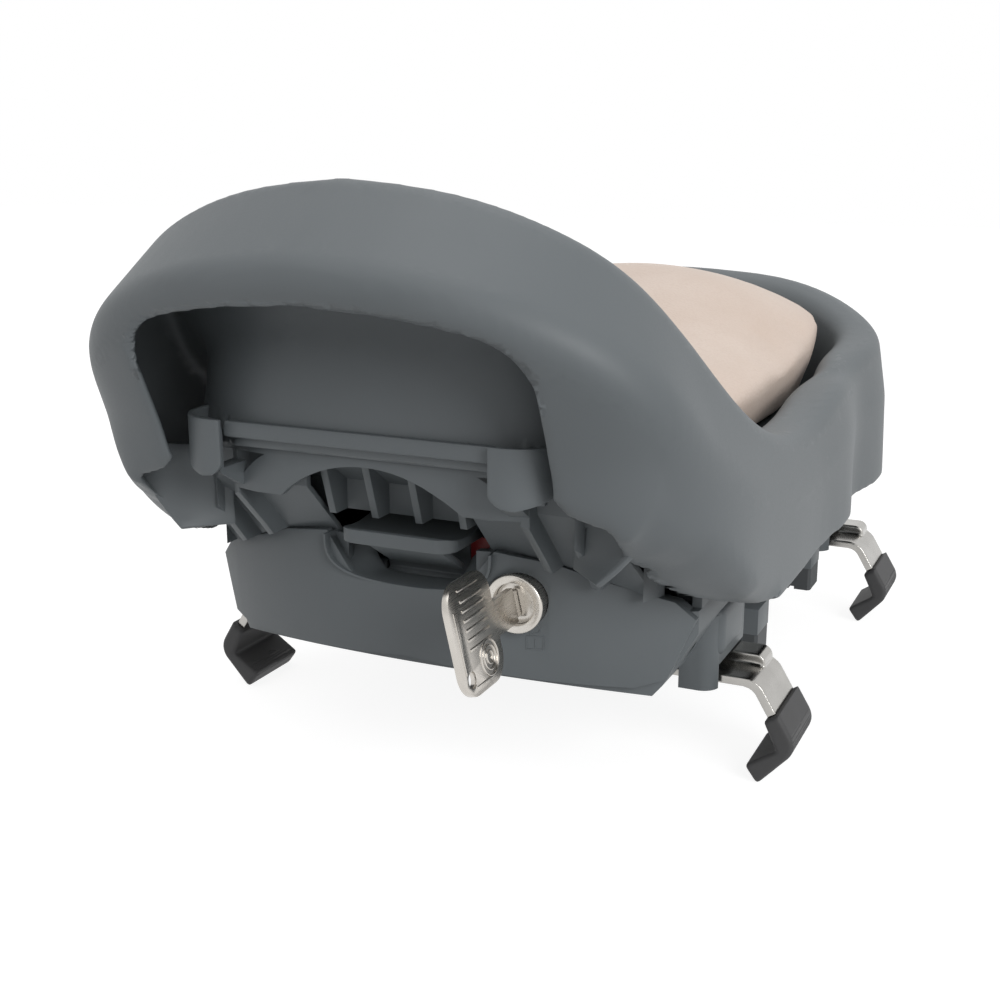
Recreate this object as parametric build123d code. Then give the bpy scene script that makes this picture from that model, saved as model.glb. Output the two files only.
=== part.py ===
from build123d import *
import os
from math import atan2, cos, hypot, pi, radians, sin, sqrt, tan

os.makedirs("parts", exist_ok=True)

# Frame of the part: X to the rider's right, Y forward along the bicycle, Z up.
# The origin is on the floor under the middle of the seat, level with the soles of the four claws.

# Driving sizes of the whole seat, in millimetres
seat_length = 348.6
skirt_width = 216.0
hoop_height = 199.0
skirt_height = 64.0
skirt_foot_height = 67.5
shell_wall = 3.0
housing_wall = 3.0
rib_wall = 2.4
flat_gap = 0.3
seat_gap = 0.1
running_gap = 0.06
cut_overrun = 6.0

half_length = seat_length / 2
half_skirt = skirt_width / 2

# Shell sizes
pan_height = 100.0
pan_bite = 2.3
pan_step_height = 122.0
pan_step_rear = 139.5
pan_step_front = 127.0
pan_floor_rear = 95.0
pan_floor_front = 160.0
pan_floor_radius = 26.0
opening_height = 166.5
opening_side_height = 157.0
opening_top_half = 63.5
opening_foot_half = 62.5
opening_corner = 18.0
opening_front = 141.6
skirt_step_rear = 139.5
skirt_step_height = 116.8
skirt_knee_rear = 121.0
skirt_knee_height = 81.5
skirt_knee_radius = 26.0
skirt_toe_rear = 62.0
lip_half = 45.0
lip_rear = 142.6
lip_front = 137.0
lip_height = 122.4

# Base sizes
base_half = 88.0
base_front = 162.0
base_front_corner = 28.0
base_side_height = 94.0
base_deck_wall = 2.4
base_deck_inset = 1.5
base_split_height = 67.5
rib_toe_height = 70.0
rib_toe_rear = 101.0
rib_waist_height = 88.0
rib_waist_rear = 117.0
rib_heel_height = 105.0
rib_heel_rear = 134.0
rib_belly_height = 84.0
rib_belly_rear = 88.0
rib_inner = 49.5
rib_pitch = 13.7
rib_count = 3
rib_back_offset = 9.0
middle_rib_count = 4
middle_rib_pitch = 15.4
middle_rib_height = 95.0
middle_rib_front = 82.0
middle_rib_rear = 126.0
middle_wall_rear = 110.0
rib_backing_inner = 27.5
back_wall_rear = 139.6
back_wall_depth = 3.2
arch_half = 31.0
arch_foot_height = 104.0
arch_top_height = 116.2
tab_inner = 45.6
tab_outer = 59.0
tab_rear = 144.6
tab_foot_height = 105.4
tab_top_height = 127.6
tab_corner = 4.0
tab_web_height = 113.0
cross_rib_count = 3
cross_rib_rear = 30.0
cross_rib_pitch = 56.0

# Lower casing sizes
casing_sole_height = 30.5
casing_step_rear = 62.0
casing_heel_height = 47.0
casing_knuckle_height = 60.0
casing_chine_height = 43.0
casing_chine_half = 78.5
casing_sole_half = 68.0
casing_edge = 3.0
knuckle_rear = 62.0
knuckle_length = 40.0
knuckle_corner = 12.0
knuckle_sole_height = 32.0
knuckle_top_height = 58.0
deck_height = 40.5
deck_wall = 3.0
cover_half = 46.0
cover_wall = 2.2
cover_rear = 55.0
cover_front = 148.0
cover_corner = 6.0
cover_ledge = 4.0

# Rear cover sizes
fascia_wall = 3.0
fascia_bow_rear = 113.0
fascia_bow_end = 86.5
fascia_top_height = 86.8
fascia_brow_half = 48.0
fascia_brow_height = 84.0
fascia_shoulder_half = 82.2
fascia_shoulder_height = 71.6
fascia_tip_height = 65.4
fascia_heel_half = 80.6
fascia_heel_height = 46.2
fascia_toe_half = 71.3
fascia_toe_height = 43.8
fascia_foot_height = 49.0
fascia_edge = 1.0
recess_top_half = 30.0
recess_foot_half = 19.0
recess_foot_height = 72.5
recess_radius = 9.0

# Claw and arm sizes
claw_width = 30.0
claw_top_outer_x = 108.5
claw_top_outer_z = 25.7
claw_bulge_x = 115.6
claw_bulge_z = 14.0
claw_sole_x = 102.3
claw_sole_z = -0.6
claw_tip_x = 97.7
claw_tip_z = 5.6
claw_throat_x = 108.2
claw_throat_z = 12.5
claw_top_inner_x = 103.4
claw_top_inner_z = 22.3
claw_corner = 7.0
claw_small_corner = 1.2
claw_core_wall = 2.0
core_knee_x = 111.2
core_tip_x = 101.6
core_tip_z = 4.6
claw_edge = 1.0
arm_width = 26.0
arm_wall = 3.2
arm_bend_x = 99.6
arm_bend_radius = 7.0
arm_inner_x = 58.0
arm_side_gap = 0.7
core_width = 24.0
bead_width = 11.0
bead_rise = 3.7
bead_inner_x = 84.0
rear_claw_front = -27.0
claw_spacing = 176.8
claw_turn = 220.0

# Drive sizes
strip_floor = 33.0
rack_wall = 3.0
rail_width = 11.0
rail_outer_x = 69.0
rail_end_gap = 0.7
gear_teeth = 12
gear_module = 2.0
gear_place = 20.0
gear_tooth_share = 0.40
gear_flank_share = 0.24
gear_tip_share = 0.85
gear_root_share = 1.1
gear_tip_angle_share = 0.12
gear_root_angle_share = 0.30
ratchet_phase_share = 0.8
rack_back = 5.0
rack_root_width = 10.0
rack_reach = 5.0
shaft_radius = 3.0
shaft_head_radius = 5.0
shaft_head_wall = 1.6
ratchet_teeth = 18
ratchet_radius = 13.0
ratchet_depth = 2.2
ratchet_wall = 4.0
pawl_depth = 1.8

# Lever, slider and lock sizes
paddle_width = 40.0
paddle_depth = 24.0
paddle_rear = 120.5
paddle_top_height = 91.5
paddle_wall = 4.6
paddle_corner = 6.0
paddle_edge = 1.2
paddle_dish_depth = 1.4
paddle_dish_radius = 40.0
lever_web_width = 31.0
lever_web_wall = 3.2
lever_hub_radius = 4.4
lever_pin_rear = 92.0
lever_pin_height = 69.0
lever_pin_radius = 2.0
lever_pin_length = 54.0
lever_finger_width = 10.0
lever_finger_height = 50.0
lever_swing = 12.0
lever_ear_inner = 17.0
lever_ear_wall = 3.0
lever_ear_half_depth = 5.0
lever_opening_half = 23.0
flag_width = 10.0
flag_foot_height = 75.5
flag_height = 11.0
flag_wall = 1.5
slider_wall = 4.0
slider_width = 16.0
slider_throw = 4.0
slider_stand_height = 52.5
slider_stand_wall = 3.0
wing_reach = 42.0
wing_depth = 7.0
wing_rear = 79.0
wing_stand_height = 55.0
guide_wall = 3.0
guide_height = 7.0
guide_length = 9.0
guide_rear_places = [64.0, 8.0]
spring_radius = 3.2
spring_wire = 0.9
spring_turns = 6
spring_length = 20.0
spring_x = -15.0
spring_rear = 40.0
spring_seat_wall = 3.0
spring_seat_half = 4.6
torsion_turns = 4
torsion_radius = 3.2
lock_x = 37.5
lock_height = 71.5
lock_face_rear = 111.0
lock_length = 26.0
lock_radius = 9.0
lock_flange = 1.6
lock_flange_rise = 0.6
plug_radius = 6.8
plug_face_step = 0.8
plug_stub_radius = 3.0
clip_rise = 2.5
clip_wall = 2.0
clip_mouth = 8.0
cam_length = 15.0
cam_width = 7.0
cam_wall = 2.5
nut_radius = 4.8
nut_wall = 3.0
key_wall = 2.2
key_blade_height = 8.0
key_blade_length = 22.0
key_shank_length = 14.0
key_shank_height = 11.0
key_bow_length = 27.0
key_bow_height = 34.0
key_bow_corner = 8.0
key_hole_radius = 2.4
key_hole_rear = 21.5
key_hole_drop = 11.5
key_tilt = 13.0

# Cushion sizes
cushion_half = 81.0
cushion_length = 256.0
cushion_crown = 156.0
cushion_edge = 5.0

# Fastener and pad sizes
screw_radius = 1.8
screw_head_radius = 3.6
screw_head_wall = 2.2
boss_radius = 4.5
shell_screw_x = 66.0
shell_screw_rear = -50.0
shell_screw_pitch = 80.0
shell_screw_bite = 1.6
casing_screw_x = 80.0
casing_screw_rear = -71.0
casing_screw_pitch = 90.0
casing_screw_count = 3
cover_screw_places = [-49.0, 60.0, 138.0]
cover_screw_bite = 6.0
fascia_screw_x = 28.0
fascia_screw_height = 56.0
fascia_screw_seat = 99.0
fascia_screw_tip = 109.3
rivet_radius = 2.5
rivet_head_radius = 3.8
rivet_head_wall = 1.0
rivet_pitch = 12.0
pad_length = 38.0
pad_inner_x = 48.0
pad_width = 16.0
pad_rear_place = 2.0
pad_spacing = 90.0
pad_sole_height = 20.8
pad_groove_depth = 1.2
pad_groove_width = 2.4
pad_groove_pitch = 5.0
pad_groove_count = 6
pad_rib_bite = 1.4


def box_between(x0, x1, y0, y1, z0, z1):
    """A block given by its two corners."""
    centre = Pos((x0 + x1) / 2, (y0 + y1) / 2, (z0 + z1) / 2)
    return centre * Box(abs(x1 - x0), abs(y1 - y0), abs(z1 - z0))


def outline(points):
    """A closed face through straight-sided points."""
    return make_face(Polyline(*points, close=True))


def side_plate(face, x0, x1):
    """A plate whose face lies in Y and Z, from x0 to x1."""
    return extrude(Plane.YZ.offset(x0) * face, amount=x1 - x0)


def front_plate(face, y0, y1):
    """A plate whose face lies in X and Z, from y0 forward to y1."""
    return extrude(Plane.XZ.offset(-y0) * face, amount=y0 - y1)


def plan_plate(face, z0, z1):
    """A plate whose face lies in X and Y, from z0 up to z1."""
    return extrude(Plane.XY.offset(z0) * face, amount=z1 - z0)


def mirrored(solid):
    """The same solid on the other side of the seat."""
    return mirror(solid, about=Plane.YZ)


def upright_rod(x, y, z0, z1, radius):
    """A rod along Z."""
    return Pos(x, y, (z0 + z1) / 2) * Cylinder(radius, z1 - z0)


def cross_rod(x0, x1, y, z, radius):
    """A rod along X."""
    return Pos((x0 + x1) / 2, y, z) * Rot(0, 90, 0) * Cylinder(radius, abs(x1 - x0))


def long_rod(x, y0, y1, z, radius):
    """A rod along Y."""
    return Pos(x, (y0 + y1) / 2, z) * Rot(90, 0, 0) * Cylinder(radius, y1 - y0)


def save(shape, name):
    """Writes one named piece."""
    export_step(shape, f"parts/{name}.step")


# Rim stations of the shell, from the middle of the hoop round to the middle of the front.
# Place: x as a share of half_skirt, y as a share of half_length, heading of the wall in degrees.
rim_place_shares = [
    (0.000, -0.806, -90),
    (0.370, -0.791, -86),
    (0.685, -0.737, -62),
    (0.852, -0.611, -30),
    (0.931, -0.411, -8),
    (0.954, -0.114, 0),
    (0.954, 0.314, 3),
    (0.880, 0.817, 40),
    (0.509, 0.977, 76),
    (0.000, 0.994, 90),
]
# Wall section: skirt foot outward as a share of half_skirt, then shoulder, crest, throat and
# bucket foot, each as (share of half_skirt outward, share of hoop_height up).
rim_section_shares = [
    (-0.160, 0.342, 0.890, -0.009, 1.020, -0.078, 0.800, -0.022, 0.5980),
    (-0.160, 0.333, 0.864, -0.009, 0.995, -0.078, 0.785, -0.022, 0.5980),
    (-0.037, 0.268, 0.764, -0.009, 0.917, -0.150, 0.725, -0.095, 0.5400),
    (0.139, 0.120, 0.613, -0.009, 0.790, -0.215, 0.665, -0.150, 0.4875),
    (0.074, 0.060, 0.523, 0.005, 0.648, -0.150, 0.620, -0.170, 0.4875),
    (0.046, 0.039, 0.482, 0.007, 0.572, -0.167, 0.569, -0.222, 0.4875),
    (0.046, 0.039, 0.503, 0.007, 0.608, -0.157, 0.600, -0.222, 0.4875),
    (0.056, 0.046, 0.528, 0.009, 0.663, -0.148, 0.683, -0.241, 0.4875),
    (0.028, 0.028, 0.563, 0.014, 0.731, -0.139, 0.739, -0.250, 0.4875),
    (0.000, 0.009, 0.563, 0.007, 0.754, -0.139, 0.756, -0.259, 0.4875),
]
# Rounding of shoulder, crest and throat, as shares of half_skirt
rim_radius_shares = [
    (0.083, 0.046, 0.28),
    (0.083, 0.050, 0.28),
    (0.130, 0.056, 0.20),
    (0.220, 0.056, 0.11),
    (0.280, 0.056, 0.09),
    (0.280, 0.056, 0.08),
    (0.280, 0.056, 0.08),
    (0.280, 0.060, 0.09),
    (0.280, 0.065, 0.09),
    (0.280, 0.065, 0.09),
]
rim_steps = 2
rim_end_share = 0.12


def rim_rows():
    """Every station as one row, with the mirrored neighbour added at each end."""
    rows = [place + section + rounding for place, section, rounding
            in zip(rim_place_shares, rim_section_shares, rim_radius_shares)]
    before = (-rows[1][0], rows[1][1], -180 - rows[1][2]) + rows[1][3:]
    after = (-rows[-2][0], rows[-2][1], 180 - rows[-2][2]) + rows[-2][3:]
    return [before] + rows + [after]


def easy_slopes(values, runs, limited):
    """Slope of a smooth curve at each value; a limited curve never swings past its values."""
    falls = [(after - before) / run for before, after, run in zip(values, values[1:], runs)]
    slopes = [0]
    for index in range(1, len(falls)):
        before, after = falls[index - 1], falls[index]
        run_before, run_after = runs[index - 1], runs[index]
        if not limited:
            slopes.append((before * run_before + after * run_after) / (run_before + run_after))
        elif before * after <= 0:
            slopes.append(0)
        else:
            weight_before = 2 * run_after + run_before
            weight_after = run_after + 2 * run_before
            slopes.append((weight_before + weight_after) / (weight_before / before + weight_after / after))
    return slopes + [0]


def finer_rows(rows, runs, steps, free_columns, end_share):
    """Rows between the given ones, one more near each end; the outermost only steer slopes."""
    columns = list(zip(*rows))
    slopes = [easy_slopes(column, runs, number >= free_columns) for number, column in enumerate(columns)]
    stations = []
    last = len(rows) - 3
    for index in range(1, last + 1):
        places = {step / steps for step in range(steps)}
        if end_share and index == 1:
            places.add(end_share)
        if end_share and index == last:
            places.add(1 - end_share)
        for t in sorted(places):
            start, end = 2 * t**3 - 3 * t**2 + 1, 3 * t**2 - 2 * t**3
            leave, arrive = (t**3 - 2 * t**2 + t) * runs[index], (t**3 - t**2) * runs[index]
            stations.append([
                column[index] * start + column[index + 1] * end
                + slope[index] * leave + slope[index + 1] * arrive
                for column, slope in zip(columns, slopes)
            ])
    return stations + [rows[-2]]


def rim_stations():
    """Finer stations between the measured ones."""
    rows = rim_rows()
    runs = [hypot((b[0] - a[0]) * half_skirt, (b[1] - a[1]) * half_length) for a, b in zip(rows, rows[1:])]
    return finer_rows(rows, runs, rim_steps, 2, rim_end_share)


def rounded_edges(corners, radii, to_space):
    """Straight runs joined by tangent arcs, one arc at each inner corner, as edges in space."""
    edges = []
    start = corners[0]
    for before, corner, after, radius in zip(corners, corners[1:], corners[2:], radii):
        run_in = hypot(before[0] - corner[0], before[1] - corner[1])
        run_out = hypot(after[0] - corner[0], after[1] - corner[1])
        back = [(b - c) / run_in for b, c in zip(before, corner)]
        onward = [(a - c) / run_out for a, c in zip(after, corner)]
        halfway = [b + o for b, o in zip(back, onward)]
        across = [b - o for b, o in zip(back, onward)]
        half_angle = atan2(hypot(*across), hypot(*halfway))
        tangent = radius / tan(half_angle)
        depth = (radius / sin(half_angle) - radius) / hypot(*halfway)
        entry = [c + b * tangent for c, b in zip(corner, back)]
        leaving = [c + o * tangent for c, o in zip(corner, onward)]
        middle = [c + h * depth for c, h in zip(corner, halfway)]
        edges.append(Edge.make_line(to_space(start), to_space(entry)))
        edges.append(Edge.make_three_point_arc(to_space(entry), to_space(middle), to_space(leaving)))
        start = leaving
    edges.append(Edge.make_line(to_space(start), to_space(corners[-1])))
    return edges


def inset_corners(corners, depth):
    """The corners of a path moved to its left by depth, its two ends kept at their heights."""
    lines = []
    for first, second in zip(corners, corners[1:]):
        run = hypot(second[0] - first[0], second[1] - first[1])
        way = ((second[0] - first[0]) / run, (second[1] - first[1]) / run)
        lines.append(((first[0] - way[1] * depth, first[1] + way[0] * depth), way))
    point, way = lines[0]
    moved = [(point[0] + way[0] * (corners[0][1] - point[1]) / way[1], corners[0][1])]
    for (point, way), (other, other_way) in zip(lines, lines[1:]):
        turn = way[0] * other_way[1] - way[1] * other_way[0]
        along = ((other[0] - point[0]) * other_way[1] - (other[1] - point[1]) * other_way[0]) / turn
        moved.append((point[0] + way[0] * along, point[1] + way[1] * along))
    point, way = lines[-1]
    moved.append((point[0] + way[0] * (corners[-1][1] - point[1]) / way[1], corners[-1][1]))
    return moved


def rim_section(station):
    """The closed wire of one wall section: outer skin, bucket foot, inner skin, skirt foot."""
    place_x, place_y, angle = station[0] * half_skirt, station[1] * half_length, radians(station[2])
    corners = [(station[3] * half_skirt, skirt_height)]
    for out, height in zip(station[4:12:2], station[5:12:2]):
        corners.append((out * half_skirt, height * hoop_height))
    radii = [share * half_skirt for share in station[12:]]
    inner_corners = inset_corners(corners, shell_wall)
    inner_radii = [max(radius - shell_wall, shell_wall / 2) for radius in radii]

    def to_space(point):
        """A point of the section placed in the seat's frame."""
        return Vector(place_x + point[0] * cos(angle), place_y + point[0] * sin(angle), point[1])

    outer = rounded_edges(corners, radii, to_space)
    inner = rounded_edges(inner_corners, inner_radii, to_space)
    edges = outer + [Edge.make_line(to_space(corners[-1]), to_space(inner_corners[-1]))]
    edges += list(reversed(inner)) + [Edge.make_line(to_space(inner_corners[0]), to_space(corners[0]))]
    return Wire(edges)


def bucket_plan(shift):
    """Half of the plan of the bucket foot, moved outward by shift, as a closed face."""
    points = []
    for station in rim_stations():
        angle = radians(station[2])
        out = station[10] * half_skirt + shift
        points.append((station[0] * half_skirt + out * cos(angle), station[1] * half_length + out * sin(angle)))
    edge = Spline(*points, tangents=[(1, 0), (-1, 0)])
    return make_face(edge + Line(points[-1], points[0]))


def pan_line(drop, rear):
    """The top of the bucket floor in side view, lowered by drop."""
    return FilletPolyline(
        (-rear, pan_step_height - drop),
        (-pan_step_front, pan_step_height - drop),
        (-pan_floor_rear, pan_height - drop),
        (pan_floor_front, pan_height - drop),
        radius=pan_floor_radius,
    )


def pan_strip(drop, wall, rear):
    """A strip of the given wall that follows the bucket floor in side view."""
    upper = pan_line(drop, rear)
    lower = pan_line(drop + wall, rear)
    return make_face(upper + lower + Line(upper @ 0, lower @ 0) + Line(upper @ 1, lower @ 1))


def below_pan(drop):
    """Everything below the lowered bucket floor, over the full width."""
    upper = pan_line(drop, half_length)
    closing = Polyline(upper @ 1, (pan_floor_front, 0), (-half_length, 0), upper @ 0)
    return side_plate(make_face(upper + closing), -half_skirt, half_skirt)


def make_seat_shell():
    """Skirt, hoop and bucket as one moulding, open underneath and at the hand opening."""
    half = Solid.make_loft([rim_section(station) for station in rim_stations()])
    pan = plan_plate(bucket_plan(pan_bite), skirt_height, hoop_height)
    pan &= side_plate(pan_strip(0, shell_wall, pan_step_rear), 0, skirt_width)
    lip = box_between(0, lip_half, -lip_rear, -lip_front, pan_step_height - shell_wall, lip_height)
    half = half + pan + lip

    below = outline([
        (-seat_length, skirt_step_height),
        (-skirt_step_rear, skirt_step_height),
        (-skirt_knee_rear, skirt_knee_height),
        (-skirt_toe_rear, skirt_foot_height),
        (seat_length, skirt_foot_height),
        (seat_length, 0),
        (-seat_length, 0),
    ])
    knees = below.vertices().filter_by(lambda v: -skirt_step_rear < v.X < 0)
    below = fillet(knees, skirt_knee_radius)
    half -= side_plate(below, -cut_overrun, skirt_width)

    sides = Polyline(
        (-opening_top_half, opening_side_height),
        (-opening_foot_half, skirt_height),
        (opening_foot_half, skirt_height),
        (opening_top_half, opening_side_height),
    )
    brow = ThreePointArc(sides @ 1, (0, opening_height), sides @ 0)
    mouth = make_face(sides + brow)
    mouth = fillet(mouth.vertices().filter_by(lambda v: v.Y > pan_step_height), opening_corner)
    half -= front_plate(mouth, -seat_length, -opening_front) - lip
    shell = half + mirrored(half)
    for screw in shell_screws(running_gap):
        shell -= screw
    return shell


def bow_arc(half, shift):
    """The bowed rear line of the rear cover, moved forward by shift."""
    return ThreePointArc(
        (-half, -fascia_bow_end + shift), (0, -fascia_bow_rear + shift), (half, -fascia_bow_end + shift)
    )


def house_plan(inset):
    """Plan of base and casing, drawn in by inset, bowed at the rear like the rear cover."""
    rear = bow_arc(base_half - inset, fascia_wall + seat_gap + inset)
    sides = Polyline(
        rear @ 1, (base_half - inset, base_front - inset), (inset - base_half, base_front - inset), rear @ 0
    )
    face = make_face(rear + sides)
    return fillet(face.vertices().group_by(Axis.Y)[-1], base_front_corner - inset)


def fascia_points(drop):
    """Right half of the rear cover's outline without its finger recess, from the top middle down."""
    return [
        (0, fascia_top_height - drop),
        (recess_top_half, fascia_top_height - drop),
        (fascia_brow_half, fascia_brow_height - drop),
        (fascia_shoulder_half, fascia_shoulder_height - drop),
        (base_half, fascia_tip_height - drop),
    ]


def behind_fascia(drop, shift):
    """The room that the rear cover needs: behind its inner face and below its top line."""
    right = fascia_points(drop)
    left = [(-x, z) for x, z in reversed(right[1:])]
    below = front_plate(outline(left + right + [(base_half, 0), (-base_half, 0)]), -seat_length, 0)
    rear = bow_arc(base_half, shift)
    sides = Polyline(rear @ 1, (base_half, -seat_length), (-base_half, -seat_length), rear @ 0)
    return below & plan_plate(make_face(rear + sides), 0, hoop_height)


def make_ribbed_base():
    """Deck under the bucket, side walls, slanted rear ribs and the arch at the back."""
    deck_drop = shell_wall + seat_gap
    deck = side_plate(pan_strip(deck_drop, base_deck_wall, back_wall_rear), -base_half, base_half)
    shallow = plan_plate(house_plan(0), 0, pan_height - deck_drop - base_deck_inset)
    inside = plan_plate(bucket_plan(-base_deck_inset), 0, hoop_height)
    inside += mirrored(inside)
    room = inside + shallow

    rib = outline([
        (-rib_heel_rear, pan_step_height),
        (-rib_heel_rear, rib_heel_height),
        (-rib_waist_rear, rib_waist_height),
        (-rib_toe_rear, rib_toe_height),
        (-rib_belly_rear, rib_toe_height),
        (-rib_belly_rear, rib_belly_height),
        (base_front - housing_wall, rib_belly_height),
        (base_front - housing_wall, pan_step_height),
    ])
    ribs = Part()
    for number in range(rib_count):
        x = rib_inner + rib_pitch * number
        for side in (-1, 1):
            ribs += side_plate(rib, side * x - rib_wall / 2, side * x + rib_wall / 2)
    middle_rib = outline([
        (-middle_rib_rear, pan_step_height),
        (-rib_waist_rear, middle_rib_height),
        (-middle_rib_front, middle_rib_height),
        (-middle_rib_front, pan_height),
    ])
    wall = box_between(
        -rib_inner, rib_inner, -middle_wall_rear, rib_wall - middle_wall_rear, middle_rib_height, pan_step_height
    )
    ribs += wall
    for number in range(middle_rib_count):
        x = middle_rib_pitch * (number - (middle_rib_count - 1) / 2)
        ribs += side_plate(middle_rib, x - rib_wall / 2, x + rib_wall / 2)

    backing = outline([
        (-rib_heel_rear + rib_back_offset, pan_step_height),
        (-rib_heel_rear + rib_back_offset, rib_heel_height),
        (-rib_waist_rear + rib_back_offset, rib_waist_height),
        (-rib_toe_rear + rib_back_offset, rib_toe_height),
        (-rib_toe_rear + rib_back_offset + rib_wall, rib_toe_height),
        (-rib_waist_rear + rib_back_offset + rib_wall, rib_waist_height),
        (-rib_heel_rear + rib_back_offset + rib_wall, rib_heel_height),
        (-rib_heel_rear + rib_back_offset + rib_wall, pan_step_height),
    ])
    for side in (-1, 1):
        near, far = sorted((side * rib_backing_inner, side * (base_half - housing_wall)))
        ribs += side_plate(backing, near, far)
    wall_half = rib_inner + rib_wall / 2
    back_wall = side_plate(outline([
        (-back_wall_rear, pan_step_height),
        (-rib_heel_rear, arch_foot_height),
        (-rib_heel_rear + back_wall_depth, arch_foot_height),
        (-back_wall_rear + back_wall_depth, pan_step_height),
    ]), -wall_half, wall_half)
    arch = ThreePointArc((-arch_half, arch_foot_height), (0, arch_top_height), (arch_half, arch_foot_height))
    feet = Polyline(arch @ 1, (arch_half, 0), (-arch_half, 0), arch @ 0)
    back_wall -= front_plate(make_face(arch + feet), -seat_length, 0)
    for number in range(cross_rib_count):
        y = cross_rib_pitch * number - cross_rib_rear
        ribs += box_between(-base_half, base_half, y, y + rib_wall, rib_belly_height, pan_height)

    base = (deck + ribs + back_wall) & below_pan(deck_drop) & room
    tab = box_between(tab_inner, tab_outer, -tab_rear, -lip_rear - seat_gap, tab_foot_height, tab_top_height)
    tab = fillet(tab.edges().filter_by(Axis.Y).group_by(Axis.Z)[-1], tab_corner)
    web_front = back_wall_depth - rib_heel_rear
    tab += box_between(tab_inner, wall_half, -tab_rear, web_front, tab_foot_height, tab_web_height)
    base += tab + mirrored(tab)
    walls = plan_plate(house_plan(0), base_split_height, base_side_height)
    walls -= plan_plate(house_plan(housing_wall), 0, hoop_height)
    too_high = box_between(-base_half, base_half, -seat_length, -fascia_bow_end + housing_wall * 2, 0, hoop_height)
    walls -= too_high - behind_fascia(fascia_edge, housing_wall * 3)
    base += walls
    base -= behind_fascia(-flat_gap, fascia_wall + seat_gap / 2)
    lever_room = (-lever_opening_half, lever_opening_half, -fascia_bow_rear, -pan_floor_rear)
    base -= box_between(*lever_room, 0, middle_rib_height - flat_gap)
    base -= long_rod(lock_x, -seat_length, -middle_rib_front, lock_height, lock_radius + clip_rise + flat_gap)
    for number in range(casing_screw_count):
        y = casing_screw_rear + casing_screw_pitch * number
        for side in (-1, 1):
            boss = upright_rod(side * casing_screw_x, y, base_split_height, pan_height, boss_radius)
            base += boss & below_pan(deck_drop)
    return base - base_screw_room()


def shell_screws(grow):
    """Screws from below through the base deck into the bucket floor."""
    seat = pan_height - shell_wall - seat_gap - base_deck_wall
    screws = []
    for row in range(3):
        for side in (-1, 1):
            x, y = side * shell_screw_x, shell_screw_rear + shell_screw_pitch * row
            tip = pan_height - shell_wall + shell_screw_bite + grow
            screw = upright_rod(x, y, seat - screw_head_wall - grow, seat, screw_head_radius + grow)
            screws.append(screw + upright_rod(x, y, seat, tip, screw_radius + grow))
    return screws


def casing_screws(grow):
    """Screws from below that join the casing to the base."""
    seat = casing_knuckle_height
    screws = []
    for row in range(casing_screw_count):
        for side in (-1, 1):
            x, y = side * casing_screw_x, casing_screw_rear + casing_screw_pitch * row
            head_foot = 0 if grow else seat - screw_head_wall
            tip = rib_belly_height - screw_head_wall + grow
            screw = upright_rod(x, y, head_foot, seat, screw_head_radius + grow)
            screws.append(screw + upright_rod(x, y, seat, tip, screw_radius + grow))
    return screws


def base_screw_room():
    """Everything that the screws take out of the base."""
    room = Part()
    for screw in shell_screws(running_gap) + casing_screws(running_gap):
        room += screw
    return room


def casing_section(top):
    """Front view of the lower casing up to the given height."""
    right = [
        (base_half, top),
        (base_half, casing_knuckle_height),
        (casing_chine_half, casing_chine_height),
        (casing_sole_half, casing_sole_height),
    ]
    return outline(right + [(-x, z) for x, z in reversed(right)])


def casing_profile(top):
    """Side view of the lower casing up to the given height."""
    return outline([
        (-fascia_bow_rear, top),
        (-fascia_bow_rear, casing_heel_height),
        (-casing_step_rear, casing_sole_height),
        (base_front, casing_sole_height),
        (base_front, top),
    ])


def arm_middles():
    """Where the arms stand along the bicycle: the rear pair, then the front pair."""
    rear = rear_claw_front - claw_width / 2
    return [rear, rear + claw_spacing]


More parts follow.
